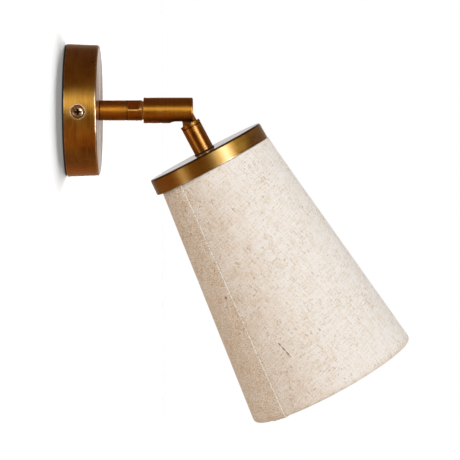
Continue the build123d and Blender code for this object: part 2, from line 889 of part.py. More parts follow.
with BuildPart() as lampholder_insert:
    turn(
        [
            (insert_start, flex_radius + loose_gap),
            (insert_start, dome_inner - loose_gap),
            (skirt_start, dome_inner - loose_gap),
            (skirt_start, skirt_bore - loose_gap),
            (contact_top, skirt_bore - loose_gap),
            (contact_top, core_radius),
            (skirt_start, core_radius),
            (skirt_start, flex_radius + loose_gap),
        ],
        head_side,
        head_axis,
    )
lampholder_insert.part.label = "lampholder_insert"
export_step(lampholder_insert.part, "parts/lampholder_insert.step")

with BuildPart() as lampholder_skirt:
    turn(
        [
            (skirt_start, skirt_bore),
            (skirt_start, skirt_flange_radius),
            (flange_end, skirt_flange_radius),
            (flange_end, skirt_radius),
            (skirt_end, skirt_radius),
            (skirt_end, skirt_mouth_radius),
            (skirt_end - skirt_mouth_depth, skirt_bore),
        ],
        head_side,
        head_axis,
    )
lampholder_skirt.part.label = "lampholder_skirt"
export_step(lampholder_skirt.part, "parts/lampholder_skirt.step")

with BuildPart() as holder_contacts:
    with BuildSketch(head.offset(contact_top)):
        Circle(bulb_tip_radius)
    extrude(amount=contact_height)
    side_contact_depth = skirt_bore - bulb_shell_radius - 2 * loose_gap
    with BuildSketch(head.offset(contact_top)):
        with Locations((0, skirt_bore - 2 * loose_gap - side_contact_depth / 2)):
            Rectangle(side_contact_width, side_contact_depth)
    extrude(amount=side_contact_length)
holder_contacts.part.label = "holder_contacts"
export_step(holder_contacts.part, "parts/holder_contacts.step")

with BuildPart() as shade_ring:
    ring_end = spider_plate_end + shade_ring_height
    head_sleeve(spider_plate_end, ring_end, skirt_radius + thread_gap, shade_ring_radius)
    chamfer(rims(shade_ring, shade_ring_radius), length=2 * edge_break)
shade_ring.part.label = "shade_ring"
export_step(shade_ring.part, "parts/shade_ring.step")

# Bulb: glass globe on a neck, metal screw shell, insulator and tip contact
with BuildPart() as bulb_tip_contact:
    head_sleeve(bulb_tip, insulator_start, 0, bulb_tip_radius)
bulb_tip_contact.part.label = "bulb_tip_contact"
export_step(bulb_tip_contact.part, "parts/bulb_tip_contact.step")

with BuildPart() as bulb_insulator:
    turn(
        [
            (insulator_start, 0),
            (insulator_start, bulb_tip_radius + bulb_insulator_rim),
            (shell_start, bulb_shell_radius - bulb_shell_wall),
            (shell_start, 0),
        ],
        head_side,
        head_axis,
    )
bulb_insulator.part.label = "bulb_insulator"
export_step(bulb_insulator.part, "parts/bulb_insulator.step")

with BuildPart() as bulb_shell:
    head_sleeve(
        shell_start, shell_end, bulb_shell_radius - bulb_shell_wall, bulb_shell_radius
    )
bulb_shell.part.label = "bulb_shell"
export_step(bulb_shell.part, "parts/bulb_shell.step")

glass_neck = bulb_shell_radius - bulb_shell_wall - loose_gap
glass_foot = shell_end - glass_in_shell
flare_start = shell_end + glass_out_of_shell
flare_end = flare_start + bulb_neck_flare


def globe_join(radius, neck):
    """Where a sphere about the globe's centre meets a neck of a given radius."""
    return globe_centre - sqrt(radius**2 - neck**2)


inner_globe = globe_radius - glass_wall
inner_neck = bulb_neck_radius - glass_wall
with BuildPart() as bulb_glass:
    with BuildSketch(head_side):
        with BuildLine():
            Polyline(
                (glass_foot, glass_neck - glass_wall),
                (glass_foot, glass_neck),
                (flare_start, glass_neck),
                (flare_end, bulb_neck_radius),
                (globe_join(globe_radius, bulb_neck_radius), bulb_neck_radius),
            )
            ThreePointArc(
                (globe_join(globe_radius, bulb_neck_radius), bulb_neck_radius),
                (globe_centre, globe_radius),
                (globe_centre + globe_radius, 0),
            )
            Line((globe_centre + globe_radius, 0), (globe_centre + inner_globe, 0))
            ThreePointArc(
                (globe_centre + inner_globe, 0),
                (globe_centre, inner_globe),
                (globe_join(inner_globe, inner_neck), inner_neck),
            )
            Polyline(
                (globe_join(inner_globe, inner_neck), inner_neck),
                (flare_end + glass_wall / 2, inner_neck),
                (shell_end + glass_wall, glass_neck - glass_wall),
                (glass_foot, glass_neck - glass_wall),
            )
        make_face()
    revolve(axis=head_axis)
bulb_glass.part.label = "bulb_glass"
export_step(bulb_glass.part, "parts/bulb_glass.step")

# Shade: wire rings with a spider, a stiff liner, and linen with folded edges
with BuildPart() as shade_spider:
    wire_ring(top_ring_at)
    head_sleeve(flange_end, spider_plate_end, skirt_radius + loose_gap, spider_ring_radius)
    top_wire_radius = shade_radius(top_ring_at) - ring_depth - wire_radius
    plate_reach = spider_ring_radius - wire_radius
    plate_middle = (flange_end + spider_plate_end) / 2
    for arm in range(spider_arms):
        angle = radians(spider_turn + arm * 360 / spider_arms)
        arm_start = head.from_local_coords(
            Vector(plate_reach * cos(angle), plate_reach * sin(angle), plate_middle)
        )
        arm_end = shade_frame.from_local_coords(
            Vector(top_wire_radius * cos(angle), top_wire_radius * sin(angle), top_ring_at)
        )
        arm_run = arm_end - arm_start
        with BuildSketch(Plane(origin=arm_start, z_dir=arm_run)):
            Circle(spider_arm_radius)
        extrude(amount=arm_run.length)
shade_spider.part.label = "shade_spider"
export_step(shade_spider.part, "parts/shade_spider.step")

with BuildPart() as bottom_ring:
    wire_ring(bottom_ring_at)
bottom_ring.part.label = "bottom_ring"
export_step(bottom_ring.part, "parts/bottom_ring.step")

with BuildPart() as shade_liner:
    turn(
        [
            inside_linen(liner_start, liner_outer_depth),
            inside_linen(liner_end, liner_outer_depth),
            inside_linen(liner_end, liner_inner_depth),
            inside_linen(liner_start, liner_inner_depth),
        ],
        shade_side,
        shade_axis,
    )
shade_liner.part.label = "shade_liner"
export_step(shade_liner.part, "parts/shade_liner.step")

# The cloth folds over the liner's top edge and under the bottom ring, and ends in a lip.
lip_outer_depth = ring_depth + 2 * wire_radius + 2 * glue_gap
lip_inner_depth = lip_outer_depth + linen_thickness
lip_start = shade_length - hem_height
hem_floor = shade_length - linen_thickness
with BuildPart() as linen_cover:
    turn(
        [
            inside_linen(0, 0),
            inside_linen(shade_length, 0),
            inside_linen(shade_length, lip_inner_depth),
            inside_linen(lip_start, lip_inner_depth),
            inside_linen(lip_start, lip_outer_depth),
            inside_linen(hem_floor, lip_outer_depth),
            inside_linen(hem_floor, linen_thickness),
            inside_linen(linen_thickness, linen_thickness),
            inside_linen(linen_thickness, liner_inner_depth),
            inside_linen(0, liner_inner_depth),
        ],
        shade_side,
        shade_axis,
    )
    fillet(rims(linen_cover, shade_bottom_radius), radius=hem_round)
    fillet(rims(linen_cover, shade_bottom_radius - lip_inner_depth), radius=hem_round)
    fillet(rims(linen_cover, shade_top_radius), radius=edge_break)
linen_cover.part.label = "linen_cover"
export_step(linen_cover.part, "parts/linen_cover.step")

# ======================================================================================
# Wiring
# ======================================================================================

flex_joint_x = yoke_start - flex_stub
with BuildPart() as supply_flex:
    sleeve(flex_end_x, flex_joint_x, 0, flex_radius)
supply_flex.part.label = "supply_flex"
export_step(supply_flex.part, "parts/supply_flex.step")

core_ring = flex_radius - core_radius - flex_sheath
below_block = -block_size_z / 2
live_y = pole_places[1][1]
neutral_y = pole_places[0][1]
core_end = -pole_length / 2 - core_gap
core_bend_x = flex_end_x - 2.4
live_route = [
    (flex_end_x, -core_ring, 0.5),
    (core_bend_x, -core_ring, 0.5),
    (12.0, -2.2, -4.2),
    (9.8, -4.3, below_block - 2.6),
    (8.0, -7.6, below_block - 6.4),
    (6.8, live_y + 0.2, below_block - 6.8),
    (pole_x, live_y, below_block - 3.4),
    (pole_x, live_y, core_end),
]
neutral_route = [
    (flex_end_x, 0.2, -core_ring),
    (core_bend_x, 0.2, -core_ring),
    (12.6, -0.4, -6.2),
    (10.8, -4.4, below_block - 5.8),
    (9.0, -10.6, below_block - 9.4),
    (7.4, -16.0, below_block - 9.8),
    (pole_x, neutral_y, below_block - 5.8),
    (pole_x, neutral_y, core_end),
]
earth_route = [
    (flex_end_x, core_ring, 0.6),
    (core_bend_x, core_ring, 0.6),
    (9.4, 1.5, 2.6),
    (5.8, 1.9, 5.4),
    (crimp_x, 4.2, earth_z),
    (crimp_x, crimp_start, earth_z),
]
with BuildPart() as flex_cores:
    cord(live_route, core_radius)
    cord(neutral_route, core_radius)
    cord(earth_route, core_radius)
flex_cores.part.label = "flex_cores"
export_step(flex_cores.part, "parts/flex_cores.step")

neck_flex_start = shoulder_end + flex_stub
neck_flex_end = skirt_start - flex_stub
joint_route = [
    (flex_joint_x, 0, 0),
    (yoke_start + 3.2, 0, 0),
    head_point(-7.6, 1.4),
    head_point(0, core_turn),
    head_point(0, neck_flex_start),
]
with BuildPart() as joint_flex:
    cord(joint_route, joint_flex_radius)
joint_flex.part.label = "joint_flex"
export_step(joint_flex.part, "parts/joint_flex.step")

with BuildPart() as neck_flex:
    head_sleeve(neck_flex_start, neck_flex_end, 0, flex_radius)
neck_flex.part.label = "neck_flex"
export_step(neck_flex.part, "parts/neck_flex.step")
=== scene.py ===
"""Looks for a fabric shade wall light: aged brass, natural linen, and the small parts inside."""

import json
from math import cos, degrees, pi, radians, sin, sqrt, tan, tau

import bmesh
import bpy
import numpy as np
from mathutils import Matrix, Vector, noise


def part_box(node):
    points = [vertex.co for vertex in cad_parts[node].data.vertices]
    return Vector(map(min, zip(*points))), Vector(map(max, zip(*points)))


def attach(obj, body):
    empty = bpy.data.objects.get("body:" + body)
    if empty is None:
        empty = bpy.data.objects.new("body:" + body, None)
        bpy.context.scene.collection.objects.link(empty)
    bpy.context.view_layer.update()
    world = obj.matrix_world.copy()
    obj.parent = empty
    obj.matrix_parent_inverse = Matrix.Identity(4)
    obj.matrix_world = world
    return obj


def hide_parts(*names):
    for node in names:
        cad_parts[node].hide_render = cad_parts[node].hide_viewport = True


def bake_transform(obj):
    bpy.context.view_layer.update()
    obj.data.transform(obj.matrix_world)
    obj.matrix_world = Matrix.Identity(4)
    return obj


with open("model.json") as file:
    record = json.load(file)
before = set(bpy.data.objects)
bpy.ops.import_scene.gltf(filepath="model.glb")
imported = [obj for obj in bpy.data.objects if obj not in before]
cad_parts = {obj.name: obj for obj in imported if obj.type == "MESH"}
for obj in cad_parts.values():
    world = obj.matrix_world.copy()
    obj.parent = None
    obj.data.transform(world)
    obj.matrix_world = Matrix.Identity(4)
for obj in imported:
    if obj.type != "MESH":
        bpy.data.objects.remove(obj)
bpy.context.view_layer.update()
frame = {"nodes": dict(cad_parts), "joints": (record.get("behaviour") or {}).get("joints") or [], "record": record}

MM = 0.001
nodes = frame["nodes"]
X, Y, Z = Vector((1, 0, 0)), Vector((0, 1, 0)), Vector((0, 0, 1))

# ---- Places read from the frame ----

TOP_EDGE = 1.5 * MM  # how far down the shade its top edge counts
AXIS_ROUNDS = 4  # how often the shade's axis is worked out from its two ends


def points(node):
    """A node's mesh points, one row each."""
    return np.array([vertex.co for vertex in nodes[node].data.vertices])


def middle(places):
    """The middle of the box round some points."""
    return Vector((places.min(axis=0) + places.max(axis=0)) / 2)


class Turned:
    """How far a node's points lie along an axis and away from it."""

    def __init__(self, node, origin, direction):
        self.places = points(node)
        offsets = self.places - np.array(origin)
        self.along = offsets @ np.array(direction)
        outward = offsets - np.outer(self.along, np.array(direction))
        self.radius = np.sqrt((outward**2).sum(axis=1))
        self.start, self.end = self.along.min(), self.along.max()
        self.reach = self.radius.max()

    def reach_near(self, along, span=1 * MM):
        """The largest radius near a place on the axis."""
        return self.radius[abs(self.along - along) < span].max()


joints = {joint["name"]: joint for joint in frame["joints"]}
pivot = Vector(joints["shade_tilt"]["pos_m"])
wall_point = Vector((0, 0, 0))
head_down = (middle(points("neck_washer")) - pivot).normalized()
head_out = Y.cross(-head_down).normalized()

# The shade leans a little from the head's axis: its own runs between its two round edges.
ring_centre = middle(points("bottom_ring"))
shade_down = head_down
for _ in range(AXIS_ROUNDS):
    leaning = Turned("linen_cover", ring_centre, shade_down)
    top_centre = middle(leaning.places[leaning.along < leaning.start + TOP_EDGE])
    shade_down = (ring_centre - top_centre).normalized()
shade_out = Y.cross(-shade_down).normalized()
shade = Turned("linen_cover", ring_centre, shade_down)
shade_top = ring_centre + shade_down * shade.start
shade_length = shade.end - shade.start
top_radius = shade.reach_near(shade.start, 0.4 * MM)
bottom_radius = shade.reach

canopy = Turned("canopy", wall_point, X)
barrel = Turned("knuckle_barrel", wall_point, X)
stem = Turned("stem", wall_point, X)
swivel = Turned("swivel_base", wall_point, X)
neck = Turned("neck_tube", pivot, head_down)
cap = Turned("shade_cap", pivot, head_down)
screws_middle = middle(points("side_screws"))

# ---- New pieces ----

SHARP_ANGLE = radians(35)  # edges steeper than this stay sharp


def placed(name, data):
    """A new object in the scene."""
    piece = bpy.data.objects.new(name, data)
    bpy.context.scene.collection.objects.link(piece)
    return piece


def built(name, places, faces):
    """A new object with a mesh of its own."""
    mesh = bpy.data.meshes.new(name)
    mesh.from_pydata(places, [], faces)
    return placed(name, mesh)


def smoothed(mesh):
    """Shades a mesh smooth, but for its sharp edges."""
    mesh.shade_smooth()
    mesh.set_sharp_from_angle(angle=SHARP_ANGLE)


def dress(piece, *materials):
    """Gives a piece these materials and no other."""
    piece.data.materials.clear()
    for material in materials:
        piece.data.materials.append(material)


# ---- Node graphs ----

MEASURES = ("DOT_PRODUCT", "LENGTH", "DISTANCE")  # vector maths that gives a number


class Tree:
    """The shader nodes of a material or a world, and short ways to add to them."""

    def __init__(self, owner):
        owner.use_nodes = True
        self.tree = owner.node_tree
        self.tree.nodes.clear()

    def fill(self, socket, value):
        """Links an input to another node's output, or sets it to a value."""
        if isinstance(value, bpy.types.NodeSocket):
            self.tree.links.new(value, socket)
        else:
            socket.default_value = value

    def add(self, kind, inputs=None, **settings):
        """A node with its settings, and its inputs by name or number."""
        node = self.tree.nodes.new("ShaderNode" + kind)
        for name, value in settings.items():
            setattr(node, name, value)
        for key, value in (inputs or {}).items():
            self.fill(node.inputs[key], value)
        return node

    def math(self, operation, a, b=0.0):
        return self.add("Math", {0: a, 1: b}, operation=operation).outputs[0]

    def plus(self, a, b):
        return self.math("ADD", a, b)

    def minus(self, a, b):
        return self.math("SUBTRACT", a, b)

    def times(self, a, b):
        return self.math("MULTIPLY", a, b)

    def size(self, a):
        """A number without its sign."""
        return self.math("ABSOLUTE", a)

    def vector(self, operation, a, b=(0, 0, 0)):
        """Vector maths, as a vector or as the number that it measures."""
        node = self.add("VectorMath", {0: a, 1: b}, operation=operation)
        return node.outputs["Value" if operation in MEASURES else "Vector"]

    def scaled(self, vector, amount):
        return self.add("VectorMath", {0: vector, "Scale": amount}, operation="SCALE").outputs[0]

    def combine(self, x, y, z):
        return self.add("CombineXYZ", {0: x, 1: y, 2: z}).outputs[0]

    def split(self, vector):
        """A vector's three numbers."""
        return tuple(self.add("SeparateXYZ", {0: vector}).outputs)

    def range(self, value, low, high, to_low=0.0, to_high=1.0, soft=True):
        """A value's place between two limits, as a number between two others."""
        node = self.add(
            "MapRange",
            {"Value": value, "From Min": low, "From Max": high, "To Min": to_low, "To Max": to_high},
            interpolation_type="SMOOTHSTEP" if soft else "LINEAR",
        )
        return node.outputs[0]

    def either(self, factor, a, b):
        """A mix of two numbers."""
        return self.add("Mix", {0: factor, 2: a, 3: b}, data_type="FLOAT").outputs[0]

    def mix(self, factor, a, b, blend="MIX"):
        """A mix of two colours."""
        first, second = [c + (1,) if isinstance(c, tuple) else c for c in (a, b)]
        node = self.add(
            "Mix", {0: factor, 6: first, 7: second}, data_type="RGBA", blend_type=blend
        )
        return node.outputs[2]

    def tint(self, colour, by):
        """A colour times another."""
        return self.mix(1.0, colour, by, blend="MULTIPLY")

    def noise(self, vector, scale, detail=2.0, roughness=0.5):
        """Noise between about nothing and one, with a scale per unit of the vector."""
        node = self.add(
            "TexNoise",
            {"Vector": vector, "Scale": scale, "Detail": detail, "Roughness": roughness},
        )
        return node.outputs[0]


class Graph(Tree):
    """A material's nodes round one Principled shader."""

    def __init__(self, name):
        self.material = bpy.data.materials.new(name)
        super().__init__(self.material)
        self.shader = self.add("BsdfPrincipled")
        self.add("OutputMaterial", {0: self.shader.outputs[0]})

    def object_place(self):
        """The place on the object at rest, in metres."""
        return self.add("TexCoord").outputs["Object"]

    def bump(self, height, distance, strength):
        inputs = {"Height": height, "Distance": distance, "Strength": strength}
        return self.add("Bump", inputs).outputs[0]

    def set(self, **values):
        """Fills inputs of the Principled shader, by name with underscores."""
        for key, value in values.items():
            self.fill(self.shader.inputs[key.replace("_", " ")], value)


# ---- Brass ----


class Brass(Graph):
    """Aged lacquered brass, brushed round an axis. Wear, dirt and painted light and shade go on before finish."""

    DARK, MID, LIGHT = (0.46, 0.20, 0.018), (0.71, 0.36, 0.045), (0.90, 0.58, 0.13)
    # The dark colour serves for real dirt spots in the patina, painted shade at joints and under the barrel, and a
    # painted dark reflection on the cap.
    WORN, DIRT = (0.92, 0.76, 0.45), (0.030, 0.012, 0.004)
    ARM_TINT, CAP_TINT = (1.0, 0.88, 0.60), (0.97, 1.10, 1.20)
    LINES, BANDS = 1500.0, 260.0  # noise scales: fine turning lines and wider bands
    CLOUDS, SPOTS, CHIPS = 38.0, 210.0, 320.0  # stains, dark spots and chipped edges
    WANDER, WANDER_REACH = 60.0, 0.004  # how the lines wander on the way round
    SPREAD = 0.7  # how far the brushing spreads the gloss
    POLISH = 0.16  # how much less rough a flat face is

    def __init__(self, name, origin, direction, lines=0.45, rough=0.32, age=(0.38, 0.66)):
        super().__init__(name)
        self.place = self.object_place()
        self.direction = tuple(direction)
        offset = self.vector("SUBTRACT", self.place, tuple(origin))
        self.along = self.vector("DOT_PRODUCT", offset, self.direction)
        on_axis = self.scaled(self.direction, self.along)
        self.outward = self.vector("SUBTRACT", offset, on_axis)
        self.radius = self.vector("LENGTH", self.outward)
        self.brush()
        self.patina(lines, rough, age)

    def brush(self):
        """Fine turning lines and wider bands, which wander slowly on the way round."""
        wander = self.times(self.noise(self.place, self.WANDER, 1.0), self.WANDER_REACH)
        at = self.combine(self.along, self.radius, wander)
        self.fine = self.noise(at, self.LINES, 3.0, 0.65)
        self.bands = self.noise(at, self.BANDS, 2.0, 0.5)

    def patina(self, lines, rough, age):
        """Slow clouds, streaks along the brushing, and a few small dark spots."""
        clouds = self.noise(self.place, self.CLOUDS, 3.0, 0.55)
        spots = self.range(self.noise(self.place, self.SPOTS, 1.0), 0.74, 0.80, 0.0, 0.6)
        colour = self.mix(self.range(clouds, *age), self.DARK, self.MID)
        colour = self.mix(self.range(self.fine, 0.35, 0.75, 0.0, lines), colour, self.LIGHT)
        colour = self.mix(self.range(self.bands, 0.4, 0.7, 0.0, 0.6 * lines), colour, self.MID)
        self.colour = self.mix(spots, colour, self.DIRT)
        slow = self.range(clouds, 0.3, 0.7, rough - 0.04, rough + 0.06)
        self.rough = self.plus(slow, self.range(self.fine, 0.3, 0.7, -0.03, 0.05))

    def ring(self, along, radius, full, none):
        """How near the surface is to a circle round the axis: one within full, nothing past none."""
        here = self.combine(self.along, self.radius, 0.0)
        away = self.vector("DISTANCE", here, (along, radius, 0.0))
        return self.range(away, full * MM, none * MM, 1.0, 0.0)

    def paint(self, mask, colour, amount, rougher=0.0):
        """Mixes a colour in where a mask says, and changes the gloss there."""
        share = self.times(mask, amount)
        self.colour = self.mix(share, self.colour, colour)
        if rougher:
            self.rough = self.plus(self.rough, self.times(share, rougher))

    def wear_rim(self, along, radius, amount=0.6, width=1.0):
        """Brighter, chipped metal along a round edge; laid on strongly, it is also a painted highlight."""
        chips = self.range(self.noise(self.place, self.CHIPS, 2.0), 0.35, 0.6, 0.4, 1.0)
        near = self.ring(along, radius, 0.25 * width, 1.1 * width)
        self.paint(self.times(near, chips), self.WORN, amount, -0.08)

    def dirty_joint(self, along, width=0.35, amount=0.85):
        """A painted shadow: a dark line round the axis where two pieces meet."""
        away = self.size(self.minus(self.along, along))
        line = self.range(away, 0.35 * width * MM, width * MM, 1.0, 0.0)
        self.paint(line, self.DIRT, amount, 0.15)

    def polish(self, from_place, to_place):
        """Makes a flat end less rough, from not at all at one place to fully at another."""
        face = self.range(self.along, from_place, to_place)
        self.rough = self.minus(self.rough, self.times(face, self.POLISH))

    def finish(self, coat=0.15, tint=None):
        """Sets the shader; the lines run round the axis, so the gloss spreads along it."""
        round_axis = self.vector("CROSS_PRODUCT", self.direction, self.outward)
        turned = self.add(
            "VectorTransform", {0: round_axis},
            vector_type="VECTOR", convert_from="OBJECT", convert_to="WORLD",
        ).outputs[0]
        normal = self.add("NewGeometry").outputs["Normal"]
        self.set(
            Base_Color=self.tint(self.colour, tint) if tint else self.colour,
            Metallic=1.0,
            Roughness=self.rough,
            Anisotropic=self.SPREAD,
            Tangent=self.vector("CROSS_PRODUCT", normal, turned),
            Normal=self.bump(self.plus(self.fine, self.bands), 0.02 * MM, 0.5),
            Sheen_Weight=0.04,
            Sheen_Roughness=0.5,
            Coat_Weight=coat,
            Coat_Roughness=0.16,
            Coat_IOR=1.5,
        )
        return self.material


DIMPLE_RIM = 5.3  # radius of the pressed dimple's rim
DIMPLE_FROM = 40.0  # how far from the canopy's middle a dimple starts
DIMPLE_SHADE, DIMPLE_PALE = (0.20, 0.07, 0.015), (0.97, 0.84, 0.66)
FLAT_TURN = radians(46)  # how far the spanner flats face up from the front
FLAT_DEPTH = 1.8
FLAT_RUN_OUT = (8.7, 10.6)  # where a flat runs out, from the stem's end
FLAT_FACE, FLAT_EDGE = (1.0, 0.46, 0.05), (1.0, 0.74, 0.32)


def canopy_brass():
    """The canopy: a smooth face, worn edges, and painted shade and a painted glint at each screw's dimple."""
    brass = Brass("canopy_brass", wall_point, X, rough=0.36)
    edge = canopy.end - 0.5 * MM
    brass.wear_rim(canopy.start, canopy.reach)
    # The front edge is worn and also carries a strong painted highlight along its rounding.
    brass.wear_rim(edge, canopy.reach_near(canopy.end - 1.6 * MM) - 0.3 * MM, 0.9, 1.3)
    brass.polish(edge, canopy.end - 0.2 * MM)
    x, y, z = brass.split(brass.place)
    away = brass.vector("DISTANCE", brass.combine(x, 0.0, z), (screws_middle.x, 0.0, 0.0))
    on_side = brass.range(brass.size(y), DIMPLE_FROM * MM, (DIMPLE_FROM + 1) * MM)
    off_ring = brass.size(brass.minus(away, DIMPLE_RIM * MM))
    ring = brass.range(off_ring, 0.3 * MM, 0.65 * MM, 1.0, 0.0)
    inside = brass.range(away, (DIMPLE_RIM - 1.0) * MM, (DIMPLE_RIM - 0.5) * MM, 1.0, 0.0)
    # Painted shade inside each dimple, and a painted glint round its rim.
    brass.paint(brass.times(inside, on_side), DIMPLE_SHADE, 0.8)
    brass.paint(brass.times(ring, on_side), DIMPLE_PALE, 0.9, 0.12)
    return brass.finish()


def stem_brass():
    """The plain tube, with painted shade where it meets its neighbours."""
    brass = Brass("stem_brass", wall_point, X, rough=0.47, age=(0.44, 0.72))
    brass.dirty_joint(stem.start, 0.8, 1.0)
    brass.dirty_joint(stem.end, 0.5)
    return brass.finish(tint=Brass.ARM_TINT)


def swivel_brass():
    """The short piece with two spanner flats, painted brighter, and a painted highlight along their worn edges."""
    brass = Brass("swivel_brass", wall_point, X, rough=0.40)
    facing = (0, -cos(FLAT_TURN), sin(FLAT_TURN))
    out = brass.size(brass.vector("DOT_PRODUCT", brass.place, facing))
    level = swivel.reach - FLAT_DEPTH * MM
    starts, ends = [stem.end + place * MM for place in FLAT_RUN_OUT]
    run_out = brass.range(brass.along, starts, ends, level, swivel.reach, soft=False)
    over = brass.minus(out, run_out)
    on_flat = brass.times(
        brass.range(over, 0.0, 0.2 * MM, 1.0, 0.0), brass.range(out, level - 0.1 * MM, level)
    )
    near = brass.range(brass.size(over), 0.35 * MM, 0.75 * MM, 1.0, 0.0)
    at_rim = brass.range(brass.radius, swivel.reach - 0.6 * MM, swivel.reach - 0.3 * MM)
    # Painted light: a brighter colour on the flats, and a painted highlight along their edges.
    brass.paint(on_flat, FLAT_FACE, 0.9)
    brass.paint(brass.times(near, at_rim), FLAT_EDGE, 1.0)
    brass.dirty_joint(stem.end, 0.3)
    brass.wear_rim(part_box("swivel_washer")[0].x, swivel.reach, 0.8, 0.8)
    return brass.finish(tint=Brass.ARM_TINT)


def barrel_brass():
    """The knuckle's sleeve, with painted shade on its underside round the slot."""
    brass = Brass("barrel_brass", wall_point, X, lines=0.65, rough=0.37, age=(0.10, 0.35))
    brass.wear_rim(barrel.start, barrel.reach, 0.5)
    brass.wear_rim(barrel.end, barrel.reach, 0.5)
    # Painted shade: darker on the underside, more so towards the barrel's end.
    height = brass.split(brass.place)[2]
    low = brass.range(height, -0.45 * barrel.reach, -0.75 * barrel.reach)
    far = brass.range(brass.along, barrel.start, barrel.end, 0.35, 1.0)
    brass.paint(brass.times(low, far), brass.DIRT, 0.85, 0.05)
    return brass.finish(coat=0.35, tint=Brass.ARM_TINT)


def tongue_brass():
    """The tongue, with painted shade round the foot of its shoulder."""
    brass = Brass("tongue_brass", pivot, head_down, rough=0.42)
    brass.dirty_joint(neck.start - 0.4 * MM, 0.3)
    return brass.finish(coat=0.2, tint=Brass.ARM_TINT)


def neck_brass():
    """The neck tube, with painted shade at its top and worn at its foot."""
    brass = Brass("neck_brass", pivot, head_down, lines=0.18, rough=0.39, age=(0.25, 0.45))
    brass.dirty_joint(neck.start, 0.6, 0.95)
    brass.wear_rim(neck.end, neck.reach, 0.5)
    return brass.finish(coat=0.6, tint=Brass.ARM_TINT)


def cap_brass():
    """The shade's cap: a smooth face with a painted dark reflection along its top corner, and a worn lower edge.
    """
    brass = Brass("cap_brass", pivot, head_down)
    brass.wear_rim(cap.end, cap.reach, 0.4)
    # Painted dark reflection along the rounded top corner.
    corner = cap.start + 0.2 * MM
    dark = brass.ring(corner, cap.reach_near(cap.start, 0.3 * MM), 0.9, 1.9)
    brass.paint(dark, brass.DIRT, 0.8)
    brass.polish(cap.start + 0.5 * MM, corner)
    return brass.finish(coat=1.0, tint=Brass.CAP_TINT)


# ---- Metals, mouldings and the lining ----

# Each one's colour and roughness, and how patchy or deeply grained it is where that is unusual
METALS = {
    "zinc_steel": ((0.62, 0.63, 0.63), 0.32),
    "dark_steel": ((0.12, 0.12, 0.13), 0.38),
    "bright_brass": ((0.72, 0.50, 0.21), 0.24),
    "screw_brass": ((0.88, 0.74, 0.48), 0.30, 0.3),
    "bulb_metal": ((0.72, 0.72, 0.72), 0.24),
}
MOULDINGS = {
    "black_rubber": ((0.018, 0.018, 0.018), 0.62),
    "black_nylon": ((0.022, 0.012, 0.008), 0.70),
    "terminal_polyamide": ((0.80, 0.79, 0.74), 0.42),
    "black_phenolic": ((0.022, 0.018, 0.016), 0.26),
    "holder_ceramic": ((0.83, 0.82, 0.78), 0.20),
    "flex_sleeve": ((0.78, 0.78, 0.76), 0.42),
    "core_sleeve": ((0.30, 0.13, 0.05), 0.40),
    "white_wire": ((0.82, 0.81, 0.78), 0.36, 0.05),
    "bulb_insulation": ((0.012, 0.012, 0.014), 0.12),
    "frosted_glass": ((0.90, 0.90, 0.88), 0.34),
}
GROOVE_NYLON = ((0.34, 0.15, 0.035), 0.60)
SCREW_RECESS = ((0.055, 0.03, 0.015), 0.50)
EXTRA_INPUTS = {  # what some of them set on the shader besides
    "black_nylon": {"Specular_IOR_Level": 0.15},
    "groove_nylon": {"Specular_IOR_Level": 0.2},
    "frosted_glass": {"Transmission_Weight": 0.35, "IOR": 1.45},
}
LINING, LINING_SHADE = (0.86, 0.845, 0.81), (0.82, 0.80, 0.755)
METAL_GRAIN, METAL_STAINS = 900.0, 90.0  # noise scales, per metre
MOULDED_GRAIN, MOULDED_CLOUDS = 1400.0, 120.0
LAID_LINES = (1400, 1400, 260)
LINING_CLOUDS = 30.0


def metal(name, colour, rough, patchy=0.2):
    """A plated or rolled metal with a fine grain and slight stains."""
    graph = Graph(name)
    place = graph.object_place()
    fine = graph.noise(place, METAL_GRAIN, 3.0, 0.6)
    stains = graph.range(graph.noise(place, METAL_STAINS, 3.0), 0.35, 0.75)
    darker = tuple(c * (1 - patchy) for c in colour)
    graph.set(
        Base_Color=graph.mix(stains, colour, darker),
        Metallic=1.0,
        Roughness=graph.range(fine, 0.3, 0.7, rough - 0.06, rough + 0.08),
        Normal=graph.bump(fine, 0.02 * MM, 0.5),
    )
    return graph.material


def moulded(name, colour, rough, depth=0.03):
    """A moulded plastic, rubber or ceramic with a fine grain."""
    graph = Graph(name)
    place = graph.object_place()
    fine = graph.noise(place, MOULDED_GRAIN, 2.0, 0.6)
    slow = graph.noise(place, MOULDED_CLOUDS, 2.0)
    lighter = tuple(min(1.0, c * 1.10 + 0.004) for c in colour)
    graph.set(
        Base_Color=graph.mix(graph.range(slow, 0.3, 0.7), colour, lighter),
        Roughness=graph.range(fine, 0.3, 0.7, rough - 0.05, rough + 0.07),
        Normal=graph.bump(fine, depth * MM, 0.6),
        **EXTRA_INPUTS.get(name, {}),
    )
    return graph.material


def lining():
    """The shade's stiff white lining, with a faint laid texture."""
    graph = Graph("shade_lining")
    place = graph.object_place()
    laid = graph.noise(graph.vector("MULTIPLY", place, LAID_LINES), 1.0, 2.0)
    slow = graph.noise(place, LINING_CLOUDS, 2.0)
    graph.set(
        Base_Color=graph.mix(graph.range(slow, 0.3, 0.7), LINING, LINING_SHADE),
        Roughness=0.7,
        Normal=graph.bump(laid, 0.05 * MM, 0.5),
    )
    return graph.material


# ---- The linen's cut: a cone's flat pattern, whose middle lies opposite the seam ----

SEAM_ANGLE = -38.3  # degrees round the shade from its front, towards its outer side
OVERLAP = 12.0  # how far the cloth laps over itself at the seam
CLOTH = 0.5  # thickness of the cloth
half_angle = np.arctan((bottom_radius - top_radius) / shade_length)
apex = top_radius / sin(half_angle)
per_mm = degrees(1 / (0.5 * (top_radius + bottom_radius) / MM))  # degrees round, halfway down
overlap = OVERLAP * per_mm


def flat_place(along, column):
    """The place on the flat cloth, from mm down the shade and degrees round from the fold."""
    out = apex + along * MM / cos(half_angle)
    turn = radians(180 - column) * sin(half_angle)
    return out * sin(turn), out * cos(turn), 0.0


# ---- Linen ----

